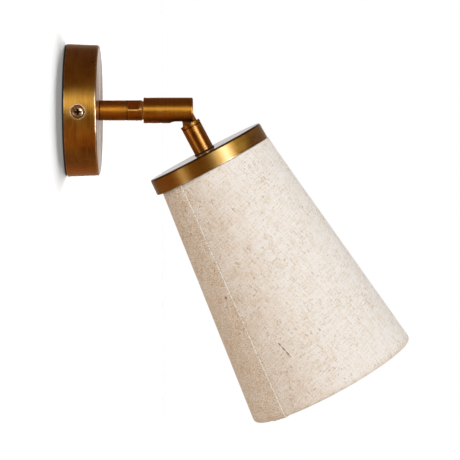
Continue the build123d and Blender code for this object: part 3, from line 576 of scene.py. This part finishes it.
# Dark slubs and fibres: where each starts and ends (mm down the shade, degrees round it from
# its front), how thick it is and how dark
SLUBS = [
    ((134.6, -19.4), (147.2, -15.9), 0.9, 0.95),
    ((87.6, -44.6), (88.8, -44.0), 1.8, 1.0),
    ((138.9, 9.9), (139.9, 10.3), 0.9, 0.6),
    ((137.6, 0.0), (138.8, 0.6), 0.8, 0.5),
]


class Linen(Graph):
    """Plain-woven natural linen with uneven threads, tan flecks and darker slubs."""

    PALE_THREAD, TAN_THREAD, GAP = (0.895, 0.862, 0.825), (0.790, 0.695, 0.585), (0.50, 0.40, 0.30)
    PIT, GLINT = (0.42, 0.33, 0.25), (1.0, 0.98, 0.95)
    FLECK, HAIR, SLUB = (0.56, 0.40, 0.25), (0.33, 0.22, 0.13), (0.19, 0.11, 0.05)
    TANNED, NEAR_HEM, AT_HEM = (0.885, 0.775, 0.67), (0.80, 0.70, 0.58), (0.66, 0.50, 0.36)
    FOLD_PALE, FOLD_DARK = (0.95, 0.92, 0.86), (0.34, 0.22, 0.13)
    PITCH = 0.72  # from one thread to the next
    DRIFT = 2.2  # how far the threads wander
    THREAD_TONE = (0.9, 6.0)  # width and length of noise along the threads
    WARP_STREAK, WEFT_STREAK = (1.2, 9.0), (1.2, 11.0)
    FLECK_SIZE, HAIR_SIZE, LONG_FLECK = (1.1, 4.4), (0.8, 3.6), (1.1, 13.0)
    PATCHES, CLOUDS, BLOTCHES = 42.0, 190.0, 75.0  # noise scales, per metre
    GRAIN, DOTS, SLUB_LUMPS, WANDER = 1150.0, 800.0, 420.0, 45.0

    def __init__(self):
        super().__init__("natural_linen")
        self.flat = self.add("Attribute", attribute_name="flat").outputs["Vector"]
        self.tanned = self.add("Attribute", attribute_name="tanned").outputs["Fac"]
        self.ridge = self.add("Attribute", attribute_name="ridge").outputs["Fac"]
        drift = self.minus(self.noise(self.flat, self.WANDER, 2.0), 0.5)
        drift = self.times(drift, self.DRIFT * MM)
        cloth = self.vector("ADD", self.flat, self.combine(drift, drift, 0.0))
        across, along, _ = self.split(cloth)
        self.ways = {"warp": (across, along), "weft": (along, across)}
        self.patches = self.minus(self.noise(self.flat, self.PATCHES, 2.0, 0.5), 0.5)

    def stretched(self, way, size, seed, detail=1.0):
        """Noise with a width across one set of threads and a length along them."""
        across, along = self.ways[way]
        width, length = size
        at = self.combine(
            self.times(across, 1 / (width * MM)), self.times(along, 1 / (length * MM)), seed
        )
        return self.noise(at, 1.0, detail, 0.55)

    def paint(self, mask, colour):
        """Mixes a colour in where a mask says."""
        self.colour = self.mix(mask, self.colour, colour)

    def stain(self, mask, tint):
        """Tints the cloth where a mask says."""
        self.paint(mask, self.tint(self.colour, tint))

    def weave(self):
        """Which set of threads lies on top, how far each stands out, and each thread's tone."""
        waves = {}
        for way, (across, _) in self.ways.items():
            waves[way] = self.math("SINE", self.times(across, pi / (self.PITCH * MM)))
        warp_up = self.range(self.times(waves["warp"], waves["weft"]), -0.15, 0.15)
        self.heights = self.either(warp_up, self.size(waves["weft"]), self.size(waves["warp"]))
        warp = self.stretched("warp", self.THREAD_TONE, 1.3, 2.0)
        weft = self.stretched("weft", self.THREAD_TONE, 8.6, 2.0)
        self.threads = self.either(warp_up, weft, warp)

    def tone(self):
        """The threads' colours, with painted shade in the gaps between them."""
        streaks = self.plus(
            self.stretched("warp", self.WARP_STREAK, 4.4, 2.0),
            self.stretched("weft", self.WEFT_STREAK, 6.2, 2.0),
        )
        clouds = self.noise(self.flat, self.CLOUDS, 3.0, 0.6)
        tone = self.times(self.threads, 0.40)
        for part, share in ((streaks, 0.30), (clouds, 0.10), (self.patches, 0.05)):
            tone = self.plus(tone, self.times(part, share))
        tan_here = self.range(tone, 0.44, 0.60, 1.0, 0.0)
        self.colour = self.mix(tan_here, self.PALE_THREAD, self.TAN_THREAD)
        self.paint(self.range(self.heights, 0.0, 0.5, 0.14, 0.0), self.GAP)

    def speckle(self):
        """Painted shade in pits and painted glints, stronger where the cloth is tanner and more shaded."""
        grain = self.noise(self.flat, self.GRAIN, 1.0, 0.5)
        strength = self.range(self.tanned, 0.3, 1.0, 0.28, 0.95)
        self.paint(self.times(self.range(grain, 0.47, 0.30), strength), self.PIT)
        self.paint(self.times(self.range(grain, 0.53, 0.70), strength), self.GLINT)

    def flecks(self, way, fleck_seed, hair_seed, long_seed):
        """Darker fibre along one set of threads, more of it where the cloth is tanner and more shaded."""
        fleck = self.stretched(way, self.FLECK_SIZE, fleck_seed)
        fleck = self.minus(fleck, self.times(self.patches, 0.26))
        fleck = self.plus(fleck, self.times(self.tanned, 0.035))
        self.paint(self.range(fleck, 0.66, 0.75, 0.0, 0.70), self.FLECK)
        hair = self.stretched(way, self.HAIR_SIZE, hair_seed)
        self.paint(self.range(hair, 0.72, 0.78, 0.0, 0.62), self.HAIR)
        long_fleck = self.stretched(way, self.LONG_FLECK, long_seed)
        self.paint(self.range(long_fleck, 0.66, 0.74, 0.0, 0.45), self.TAN_THREAD)

    def slub(self, start, end, width, strength):
        """A dark thick thread between two places on the shade."""
        first, last = [
            Vector(flat_place(along, (SEAM_ANGLE - angle) % 360)) for along, angle in (start, end)
        ]
        run = last - first
        heading = tuple(run.normalized())
        offset = self.vector("SUBTRACT", self.flat, tuple(first))
        along = self.vector("DOT_PRODUCT", offset, heading)
        clamped = self.math("MINIMUM", self.math("MAXIMUM", along, 0.0), run.length)
        away = self.vector("DISTANCE", offset, self.scaled(heading, clamped))
        near = self.range(away, 0.3 * width * MM, 0.75 * width * MM, strength, 0.0)
        lumps = self.range(self.noise(self.flat, self.SLUB_LUMPS, 1.0), 0.35, 0.6, 0.35, 1.0)
        self.paint(self.times(near, lumps), self.SLUB)

    def tan_edges(self):
        """Tan and painted shade in blotches near the seam; darker and warmer towards the hem, with painted shade
        on its roll.
        """
        blotches = self.noise(self.flat, self.BLOTCHES, 3.0, 0.6)
        blotches = self.range(blotches, 0.36, 0.64, 0.68, 1.25)
        # Tan of the doubled cloth and painted shade away from the light, in blotches.
        self.stain(self.times(self.tanned, blotches), self.TANNED)
        down = self.vector("LENGTH", self.flat)
        edge = (apex + shade_length) / cos(half_angle)
        # Darker and warmer towards the hem, and painted shade on the hem's roll.
        self.stain(self.range(down, edge - 9 * MM, edge - 1 * MM, 0.0, 0.45), self.NEAR_HEM)
        self.stain(self.range(down, edge - 2.5 * MM, edge, 0.0, 0.6), self.AT_HEM)

    def folded_edge(self):
        """The folded edge is pale with wear and a dotted painted highlight, with painted shadow specks along its
        foot.
        """
        dots = self.noise(self.flat, self.DOTS, 1.0)
        beside = self.range(self.size(self.ridge), 0.02, 0.25)
        on_fold = self.range(self.ridge, 0.1, 0.8)
        self.paint(self.times(beside, self.range(dots, 0.40, 0.34, 0.0, 0.55)), self.FOLD_DARK)
        self.paint(self.times(on_fold, self.range(dots, 0.40, 0.52, 0.12, 0.95)), self.FOLD_PALE)

    def finish(self):
        """Sets the shader, with the threads standing out."""
        uneven = self.plus(self.times(self.heights, 0.5), self.times(self.threads, 1.2))
        self.set(
            Base_Color=self.colour,
            Roughness=0.92,
            Specular_IOR_Level=0.1,
            Normal=self.bump(uneven, 0.30 * MM, 1.0),
        )
        return self.material


def linen():
    """The cloth's material, painted from its weave up."""
    cloth = Linen()
    cloth.weave()
    cloth.tone()
    cloth.speckle()
    cloth.flecks("warp", 0.4, 9.1, 6.6)
    cloth.flecks("weft", 4.1, 14.4, 9.5)
    for start, end, width, strength in SLUBS:
        cloth.slub(start, end, width, strength)
    cloth.tan_edges()
    cloth.folded_edge()
    return cloth.finish()


# ---- Linen cover: one cloth from its lapped seam all the way round, with a rolled hem ----

TOP_ROUND = [(0.15, 1.45), (0.0, 1.0), (0.05, 0.45), (0.3, 0.08)]  # along and depth
TOP_FLAT = 0.8  # where the top's rounding ends
ROWS, TURNS = 110, 300  # how many rows of points down the shade and columns round it
HEM_LIP = 5.0  # how far the cloth comes back up inside
LINING_REACH = 4.9  # how deep the lip lies under the shade's outer face
HEM_ALONG, HEM_DEEP = 2.6, 1.5  # the hem's round, along the shade and into it
HEM_BOTTOM = (0.02, 2.4)  # the hem's lowest place, from the shade's end and under its face
LIFT_RUN = 3.0  # how far the upper layer takes to come down past the lower one
FOLD_WIDTH, FOLD_RUN = 4.5, 1.2  # how far the folded edge is doubled, and its step down
FOLD_ROUND = 0.5  # how far in the folded edge is rounded
TOP_REACH_RUN, SWELL_RUN = 8, 16  # how far down the cloth its top's reach and swelling fade
SWELL, SWELL_TURN = 1.2, radians(20)  # how far it swells at most, and where round it
UNDER_CAP = 0.15  # from the cap's edge to the cloth's top
TAN_RUN, TAN_FADE = 55.0, 110.0  # how far from the fold the cloth is tanned and shaded, and where that ends
TAN_BEFORE = 0.62  # how tanned and shaded it is just before the fold


def profile():
    """The cloth's section, as places along the shade and depths under its face."""
    length = shade_length / MM
    line = TOP_ROUND + [(row, 0.0) for row in np.linspace(TOP_FLAT, length - HEM_ALONG, ROWS)]
    for turn in np.linspace(0, pi / 2, 9)[1:]:
        line.append((length - HEM_ALONG + HEM_ALONG * sin(turn), HEM_DEEP * (1 - cos(turn))))
    line.append((length + HEM_BOTTOM[0], HEM_BOTTOM[1]))
    for turn in np.linspace(0, pi / 2, 7):
        depth = LINING_REACH - HEM_DEEP * (1 - sin(turn))
        line.append((length - HEM_DEEP * (1 - cos(turn)), depth))
    line += [(length - step, LINING_REACH) for step in (2.4, 3.2, 4.0, HEM_LIP)]
    return np.array(line)


def outward_normals(line):
    """Normals of an open line in its own plane, pointing to the cloth's outside."""
    run = np.gradient(line, axis=0)
    run /= np.linalg.norm(run, axis=1)[:, None]
    return np.stack([run[:, 1], -run[:, 0]], axis=1)


def smooth(value, low, high):
    """A smooth step from nothing at one value to one at another."""
    share = np.clip((value - low) / (high - low), 0, 1)
    return float(share * share * (3 - 2 * share))


def shade_point(along, depth, angle):
    """A place at a distance along the shade, a depth under its face and an angle in radians."""
    radius = top_radius + along * MM * tan(half_angle) - depth * MM
    spoke = -Y * cos(angle) + shade_out * sin(angle)
    return shade_top + shade_down * (along * MM) + spoke * radius


def reach_up(angle):
    """How far the cloth goes above the shade's top, to just under the cap's edge."""
    spoke = -Y * cos(angle) + head_out * sin(angle)
    rim = pivot + head_down * cap.end + spoke * cap.reach
    return (shade_top - rim).dot(shade_down) / MM - UNDER_CAP


def swell(angle):
    """How far the cloth swells out under the cap, most in front."""
    return SWELL * max(0.0, cos(angle - SWELL_TURN))


def waver(along, column):
    """How uneven the cloth's face is, away from its top edge."""
    slow = noise.noise(Vector((along / 14, column / 9, 2.0))) * 0.10
    fine = noise.noise(Vector((along / 3.1, column / 2.2, 7.0))) * 0.035
    return (slow + fine) * smooth(along, 0, 10)


def seam_line(past_fold, before_fold):
    """One on the folded edge, minus one just before it, nothing further: where highlight and shadow are painted.
    """
    if past_fold < before_fold:
        return 1.0 - smooth(past_fold, 0.3, 0.85)
    return smooth(before_fold, 0.3, 0.9) - 1.0


def tan_share(past_fold, before_fold):
    """Tan of the doubled cloth and painted shade away from the light: most past the fold, less before it."""
    if past_fold < before_fold:
        return 1.0 - smooth(past_fold, TAN_RUN, TAN_FADE)
    return TAN_BEFORE * (1.0 - smooth(before_fold, 0.0, TAN_RUN))


def linen_columns():
    """Angles round the cloth from its folded edge, close together at both ends and the fold."""
    edge = [step * per_mm for step in (0, 0.06, 0.2, 0.45, 0.8, 1.4, 2.2, 3.2, 4.2, 5.0, 6.2)]
    over = list(np.linspace(7.4 * per_mm, overlap + LIFT_RUN * per_mm, 14))
    round_it = list(np.linspace(overlap + (LIFT_RUN + 2) * per_mm, 360 - 2.4 * per_mm, TURNS))
    round_it += [360 - step * per_mm for step in (1.8, 1.3, 0.9, 0.5, 0.2)]
    under = list(np.linspace(360, 360 + overlap - per_mm, 9))
    return edge + over + round_it + under


def cloth_faces(column):
    """How far the cloth's outer and inner face stand out from the shade's, at one column."""
    past_fold = column / per_mm
    lift = CLOTH * (1 - smooth(column, overlap, overlap + LIFT_RUN * per_mm))
    fold = CLOTH * 0.4 * (1 - smooth(past_fold, FOLD_WIDTH - FOLD_RUN, FOLD_WIDTH))
    rounding = sqrt(max(0.0, 1 - max(0.0, 1 - past_fold / FOLD_ROUND) ** 2))
    between = lift + (fold - CLOTH) / 2
    half = (CLOTH + fold) / 2 * rounding
    return between + half, between - half


def cover_faces(columns, rows):
    """The mesh's faces: two layers of columns by rows, closed at the top, hem and both ends."""
    ring = 2 * rows
    last = (columns - 1) * ring
    faces = []
    for a in range(0, last, ring):
        b = a + ring
        for r in range(rows - 1):
            faces.append((a + r, a + r + 1, b + r + 1, b + r))
            faces.append((a + rows + r, b + rows + r, b + rows + r + 1, a + rows + r + 1))
        faces.append((a, b, b + rows, a + rows))
        faces.append((a + rows - 1, a + ring - 1, b + ring - 1, b + rows - 1))
    for start, flip in ((0, 1), (last, -1)):
        for r in range(rows - 1):
            quad = (start + r, start + rows + r, start + rows + r + 1, start + r + 1)
            faces.append(quad[::flip])
    return faces


def linen_cover():
    """The cloth, with its place on the flat cut, its tan and shade and its fold's painted light as attributes."""
    line = profile()
    section = list(zip(line, outward_normals(line)))
    columns = linen_columns()
    places, flats, tanned, ridge = [], [], [], []
    for column in columns:
        angle = radians(SEAM_ANGLE - column)
        top_reach, swelling = reach_up(angle), swell(angle)
        past_fold = column / per_mm
        before_fold = 360 / per_mm - past_fold
        for face in cloth_faces(column):
            for (along, depth), (n_along, n_depth) in section:
                push = face + waver(along, column)
                up = top_reach * (1 - smooth(along, 0, TOP_REACH_RUN))
                out = swelling * (1 - smooth(along, 0, SWELL_RUN))
                places.append(
                    shade_point(along + n_along * push - up, depth + n_depth * push - out, angle)
                )
                hidden = depth if along > TOP_FLAT else 0
                flats.append(flat_place(along + hidden, column))
        tanned += [tan_share(past_fold, before_fold)] * 2 * len(line)
        ridge += [seam_line(past_fold, before_fold)] * 2 * len(line)
    piece = built("linen_shade_cover", places, cover_faces(len(columns), len(line)))
    mesh = piece.data
    mesh.validate()
    mesh.attributes.new("flat", "FLOAT_VECTOR", "POINT").data.foreach_set("vector", np.ravel(flats))
    mesh.attributes.new("tanned", "FLOAT", "POINT").data.foreach_set("value", tanned)
    mesh.attributes.new("ridge", "FLOAT", "POINT").data.foreach_set("value", ridge)
    mesh.shade_smooth()
    return piece


# ---- Side screws with a cross and slot recess ----

HEAD_RADIUS, HEAD_HEIGHT, HEAD_EDGE = 4.0 * MM, 2.2 * MM, 0.75 * MM
DOME_HEIGHT, DOME_POWER = 1.45 * MM, 0.55
SHANK, SHANK_END = 1.95 * MM, 38.5 * MM  # its radius, and where it ends from the canopy's axis
TIP = 0.6 * MM  # length of its narrower tip
CROSS = (5.6 * MM, 1.9 * MM, 1.7 * MM, 0.5)  # length, width, depth and share at the foot
SLOT = (7.2 * MM, 0.95 * MM, 0.85 * MM, 0.92)
STEPS = 64  # points round a screw


def fix_normals(mesh):
    """Turns a mesh's faces outward."""
    work = bmesh.new()
    work.from_mesh(mesh)
    bmesh.ops.recalc_face_normals(work, faces=work.faces)
    work.to_mesh(mesh)
    work.free()


def turned_screw(name, line, origin, outward):
    """A closed turned solid from (along, radius) points that start and end on the axis."""
    up = outward.cross(X)
    places = [origin + outward * line[0][0]]
    for along, radius in line[1:-1]:
        for step in range(STEPS):
            turn = tau * step / STEPS
            places.append(origin + outward * along + (X * cos(turn) + up * sin(turn)) * radius)
    places.append(origin + outward * line[-1][0])
    last = len(places) - 1
    last_ring = last - STEPS
    faces = []
    for step in range(STEPS):
        after = (step + 1) % STEPS
        faces.append((0, 1 + after, 1 + step))
        for a in range(1, last_ring, STEPS):
            b = a + STEPS
            faces.append((a + step, a + after, b + after, b + step))
        faces.append((last_ring + step, last_ring + after, last))
    return built(name, places, faces)


def wedge(centre, long_way, across, down, size):
    """A block that narrows as it goes down, to cut a recess with."""
    length, width, depth, foot = size
    places = []
    for level, share in ((-1.0 * MM, 1.0), (depth, foot)):
        for u, v in ((-1, -1), (1, -1), (1, 1), (-1, 1)):
            aside = long_way * (u * length * share / 2) + across * (v * width * share / 2)
            places.append(centre + down * level + aside)
    faces = [(3, 2, 1, 0), (4, 5, 6, 7)]
    faces += [(i, (i + 1) % 4, 4 + (i + 1) % 4, 4 + i) for i in range(4)]
    cutter = built("cutter", places, faces)
    fix_normals(cutter.data)
    return cutter


def cut(piece, cutters):
    """Takes the cutters out of a piece."""
    for cutter in cutters:
        boolean = piece.modifiers.new("recess", "BOOLEAN")
        boolean.operation = "DIFFERENCE"
        boolean.solver = "EXACT"
        boolean.object = cutter
        bpy.context.view_layer.update()
        result = piece.evaluated_get(bpy.context.evaluated_depsgraph_get())
        cut_mesh = bpy.data.meshes.new_from_object(result)
        piece.modifiers.clear()
        piece.data = cut_mesh
        bpy.data.objects.remove(cutter)


def screw_line(head_top):
    """Half of a pan head screw's outline, from its tip to its head."""
    seat = head_top - HEAD_HEIGHT
    shoulder = seat + HEAD_EDGE
    line = [(SHANK_END, 0), (SHANK_END, 0.7 * SHANK), (SHANK_END + TIP, SHANK), (seat, SHANK)]
    line += [(seat, HEAD_RADIUS), (shoulder, HEAD_RADIUS)]
    for turn in np.linspace(0.12, 1, 9):
        narrowing = max(0.12, cos(turn * pi / 2) ** DOME_POWER)
        line.append((shoulder + DOME_HEIGHT * sin(turn * pi / 2), HEAD_RADIUS * narrowing))
    return line + [(head_top, 0)]


def darken_recess(piece, top, outward):
    """Gives the faces that lie under the head's dome the second material, the recess's painted shade."""
    for face in piece.data.polygons:
        offset = face.center - top
        under = -offset.dot(outward)
        radius = (offset + outward * under).length
        cosine = min(1.0, radius / HEAD_RADIUS) ** (1 / DOME_POWER)
        dome = DOME_HEIGHT * (1 - sqrt(1 - cosine**2))
        in_head = radius < 0.93 * HEAD_RADIUS and under < 2 * MM
        face.material_index = int(in_head and under > dome + 0.10 * MM)


def side_screw(name, side, materials):
    """A pan head screw in its dimple on one side of the canopy, with painted shade in its recess."""
    origin, outward = Vector((screws_middle.x, 0, screws_middle.z)), Y * side
    head_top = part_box("side_screws")[1].y
    top = origin + outward * head_top
    piece = turned_screw(name, screw_line(head_top), origin, outward)
    fix_normals(piece.data)
    cut(piece, [
        wedge(top, X, Z, -outward, CROSS),
        wedge(top, Z, X, -outward, CROSS),
        wedge(top, X, Z, -outward, SLOT),
    ])
    smoothed(piece.data)
    dress(piece, *materials)
    darken_recess(piece, top, outward)
    return piece


# ---- The wires past the tilt pivot ----

WIRE_MESH = 0.7  # longest edge of their mesh
WIRE_ROUNDS = 5  # how often the edges that are too long are halved


def joint_wires():
    """The wires' solid, with its long edges halved until it has points all along it."""
    work = bmesh.new()
    work.from_mesh(nodes["joint_flex"].data)
    bmesh.ops.remove_doubles(work, verts=work.verts, dist=0.001 * MM)
    bmesh.ops.dissolve_degenerate(work, edges=work.edges, dist=0.01 * MM)
    for _ in range(WIRE_ROUNDS):
        too_long = [edge for edge in work.edges if edge.calc_length() > WIRE_MESH * MM]
        bmesh.ops.subdivide_edges(work, edges=too_long, cuts=1)
        bmesh.ops.triangulate(work, faces=work.faces)
    mesh = bpy.data.meshes.new("joint_wires")
    work.to_mesh(mesh)
    work.free()
    mesh.validate()
    smoothed(mesh)
    return placed("joint_wires", mesh)


# ---- Dressing the nodes and adding the new pieces ----

# These nodes have a look of their own, and the others take their slot's
own_looks = {
    "canopy": canopy_brass(),
    "stem": stem_brass(),
    "swivel_base": swivel_brass(),
    "knuckle_barrel": barrel_brass(),
    "pivot_yoke": Brass("yoke_brass", wall_point, X).finish(coat=0.3),
    "swivel_washer": moulded("groove_nylon", *GROOVE_NYLON),
    "tilt_tongue": tongue_brass(),
    "neck_tube": neck_brass(),
    "shade_cap": cap_brass(),
}
slot_looks = {name: metal(name, *look) for name, look in METALS.items()}
slot_looks |= {name: moulded(name, *look) for name, look in MOULDINGS.items()}
slot_looks |= {"shade_lining": lining(), "natural_linen": linen()}
for part in frame["record"]["subparts"]:
    node = part["node"]
    dress(nodes[node], own_looks.get(node) or slot_looks[part["material_slot"]])

cloth = linen_cover()
dress(cloth, slot_looks["natural_linen"])
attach(cloth, "head")
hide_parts("linen_cover")

wires = joint_wires()
dress(wires, slot_looks["core_sleeve"])
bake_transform(wires)
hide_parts("joint_flex")

screw_looks = (slot_looks["screw_brass"], metal("screw_recess", *SCREW_RECESS))
for name, side in (("side_screw_front", -1), ("side_screw_back", 1)):
    screw = side_screw(name, side, screw_looks)
    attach(screw, "wall_base")
    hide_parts("side_screws")

# ---- Wall and floor ----

WALL_GAP = 0.2 * MM  # how far the wall lies behind the light's back
STAGE, WALL_TOP, FLOOR = 3.0, 2.0, -1.0
WALL_PAINT, WALL_GLOW = 0.305, 0.04
FLOOR_PAINT, FLOOR_GLOW = 0.85, 0.32


def stage_material(name, albedo, emission):
    """A surface that glows a little and can't be seen from behind."""
    material = bpy.data.materials.new(name)
    tree = Tree(material)
    diffuse = tree.add("BsdfDiffuse", {"Color": (albedo, albedo, albedo, 1)}).outputs[0]
    glow = tree.add("Emission", {"Strength": emission}).outputs[0]
    both = tree.add("AddShader", {0: diffuse, 1: glow}).outputs[0]
    clear = tree.add("BsdfTransparent").outputs[0]
    behind = tree.add("NewGeometry").outputs["Backfacing"]
    choice = tree.add("MixShader", {0: behind, 1: both, 2: clear}).outputs[0]
    tree.add("OutputMaterial", {0: choice})
    return material


def backdrop(name, corners, material):
    """A plane that only the camera sees, and that casts no shadow."""
    plane = built(name, corners, [(0, 1, 2, 3)])
    dress(plane, material)
    for kind in ("diffuse", "glossy", "transmission", "shadow"):
        setattr(plane, f"visible_{kind}", False)
    return plane


wall_corners = ((-STAGE, FLOOR), (STAGE, FLOOR), (STAGE, WALL_TOP), (-STAGE, WALL_TOP))
floor_corners = ((-STAGE, -STAGE), (STAGE, -STAGE), (STAGE, STAGE), (-STAGE, STAGE))
wall = backdrop(
    "wall", [(-WALL_GAP, y, z) for y, z in wall_corners],
    stage_material("wall_paint", WALL_PAINT, WALL_GLOW),
)
floor = backdrop(
    "floor", [(x, y, FLOOR) for x, y in floor_corners],
    stage_material("floor_paint", FLOOR_PAINT, FLOOR_GLOW),
)

# ---- Lights ----

KEY_WAY, KEY_DISTANCE = Vector((0.60, -0.75, 0.28)).normalized(), 1.6
KEY_TARGET = Vector((0.11, 0, -0.06))
KEY_WIDTH, KEY_HEIGHT, KEY_POWER = 1.4, 0.9, 9.4
SUN_WAY = Vector((sin(radians(13)), cos(radians(13)), 0.0))
SUN_SPREAD, SUN_POWER = radians(28), 40.0


def light(name, kind, way, power):
    """A light that shines from a direction."""
    holder = placed(name, bpy.data.lights.new(name, kind))
    holder.data.energy = power
    holder.rotation_euler = way.to_track_quat("Z", "Y").to_euler()
    return holder


def collection(name, members):
    """A collection for light linking."""
    group = bpy.data.collections.new(name)
    for member in members:
        group.objects.link(member)
    return group


key = light("key_light", "AREA", KEY_WAY, KEY_POWER)
key.data.shape = "RECTANGLE"
key.data.size, key.data.size_y = KEY_WIDTH, KEY_HEIGHT
key.location = KEY_TARGET + KEY_WAY * KEY_DISTANCE
key.visible_camera = False
key.visible_glossy = False

# A low sun along the wall draws the canopy's soft shadow on it, and lights nothing else.
sun = light("wall_light", "SUN", SUN_WAY, SUN_POWER)
sun.data.angle = SUN_SPREAD
linking = sun.light_linking
linking.receiver_collection = collection("lit_by_wall_light", [wall])
linking.blocker_collection = collection(
    "shading_the_wall", [nodes["canopy"], nodes["wall_gasket"]]
)

# Softboxes, seen only in gloss: azimuth from the front and height, half width and half height,
# soft edge (all in degrees), strength and colour
SOFTBOXES = [
    ((27, 14), (20, 12), 11, 2.2, (1.0, 0.97, 0.90)),
    ((33, 14), (9, 6), 6, 5.0, (0.95, 1.08, 1.70)),
    ((-55, -20), (8, 14), 7, 1.0, (1.0, 0.95, 0.85)),
    ((78, -12), (20, 14), 6, 4.5, (1.0, 0.98, 0.95)),
    ((120, 26), (22, 14), 12, 0.09, (1.0, 0.95, 0.9)),
]
STUDIO_WARM, CLOTH_WARM, CLOTH_PLAIN = (1.0, 0.38, 0.06), (1.0, 0.91, 0.82), (1.0, 1.0, 1.0)
BACKDROP_WIDE, BACKDROP_BRIGHT = (0.97, 0.97, 1.0), (0.86, 0.97, 1.08)
LOW_BAND = (-44, 20, 10)  # height, half height and soft edge of the studio's lit lower part
CEILING_WAY, CLOTH_WAY = (-0.47, 0.0, 0.88), (-0.30, -0.94, -0.16)
AMBIENT, FROM_FRONT = 0.71, 0.24  # light on cloth, and how much it changes round it


class Room(Tree):
    """The room's light: even for cloth, and softboxes in a dim warm studio for what is glossy."""

    def __init__(self, name):
        self.world = bpy.data.worlds.new(name)
        super().__init__(self.world)
        self.way = self.add("TexCoord").outputs["Generated"]
        self.x, self.y, self.z = self.split(self.way)
        self.azimuth = self.math("ARCTAN2", self.x, self.times(self.y, -1.0))
        self.height = self.math("ARCSINE", self.z)

    def window(self, angle, centre, half, edge):
        """One inside a range of angles in degrees, and softly nothing outside it."""
        away = self.size(self.minus(angle, radians(centre)))
        return self.range(away, radians(half - edge), radians(half + edge), 1.0, 0.0)

    def softbox(self, centre, half, edge, strength, colour):
        """A soft-edged panel of light."""
        wide = self.window(self.azimuth, centre[0], half[0], edge)
        tall = self.window(self.height, centre[1], half[1], edge)
        return self.scaled(colour, self.times(self.times(wide, tall), strength))

    def gloss(self):
        """What glossy surfaces reflect: a warm dim studio, softboxes and the pale backdrop."""
        studio = self.plus(self.window(self.height, *LOW_BAND), 0.62)
        ceiling = self.vector("DOT_PRODUCT", self.way, CEILING_WAY)
        dimmed = self.times(studio, self.range(ceiling, 0.90, 0.98, 0.155, 0.03))
        seen = self.scaled(STUDIO_WARM, dimmed)
        panels = [self.softbox(*box) for box in SOFTBOXES]
        panels.append(self.scaled(BACKDROP_WIDE, self.range(self.y, 0.70, 0.97, 0.0, 0.15)))
        panels.append(self.scaled(BACKDROP_BRIGHT, self.range(self.y, 0.955, 1.0, 0.0, 0.50)))
        for panel in panels:
            seen = self.vector("ADD", seen, panel)
        return seen

    def cloth_light(self):
        """What lights cloth: more from the front, and warmer from the wall's side."""
        agreeing = self.vector("DOT_PRODUCT", self.way, CLOTH_WAY)
        level = self.plus(self.times(agreeing, FROM_FRONT), AMBIENT)
        from_room = self.range(self.x, -1.0, 1.0)
        return self.mix(from_room, self.scaled(CLOTH_WARM, level), self.scaled(CLOTH_PLAIN, level))

    def finish(self):
        """Shows the camera plain white, gloss the studio, and everything else the even light."""
        rays = self.add("LightPath")
        sky = self.mix(rays.outputs["Is Camera Ray"], self.cloth_light(), (1, 1, 1))
        sky = self.mix(rays.outputs["Is Glossy Ray"], sky, self.gloss())
        background = self.add("Background", {"Color": sky, "Strength": 1.0})
        self.add("OutputWorld", {0: background.outputs[0]})
        return self.world


bpy.context.scene.world = Room("studio").finish()

# ---- Camera ----

FOCAL_PX, PHOTO_PX = 2042, 460  # focal length and width of the photo, in its pixels
SENSOR = 36.0
CAMERA_PLACE = Vector((109.07, -1546.88, 32.78)) * MM
CAMERA_WAY = Vector((0.00932, 0.99678, -0.07961))

camera = placed("camera", bpy.data.cameras.new("camera"))
camera.data.sensor_width = SENSOR
camera.data.lens = FOCAL_PX / PHOTO_PX * SENSOR
camera.location = CAMERA_PLACE
camera.rotation_euler = CAMERA_WAY.to_track_quat("-Z", "Y").to_euler()
bpy.context.scene.camera = camera
bpy.context.scene.view_settings.view_transform = "Standard"
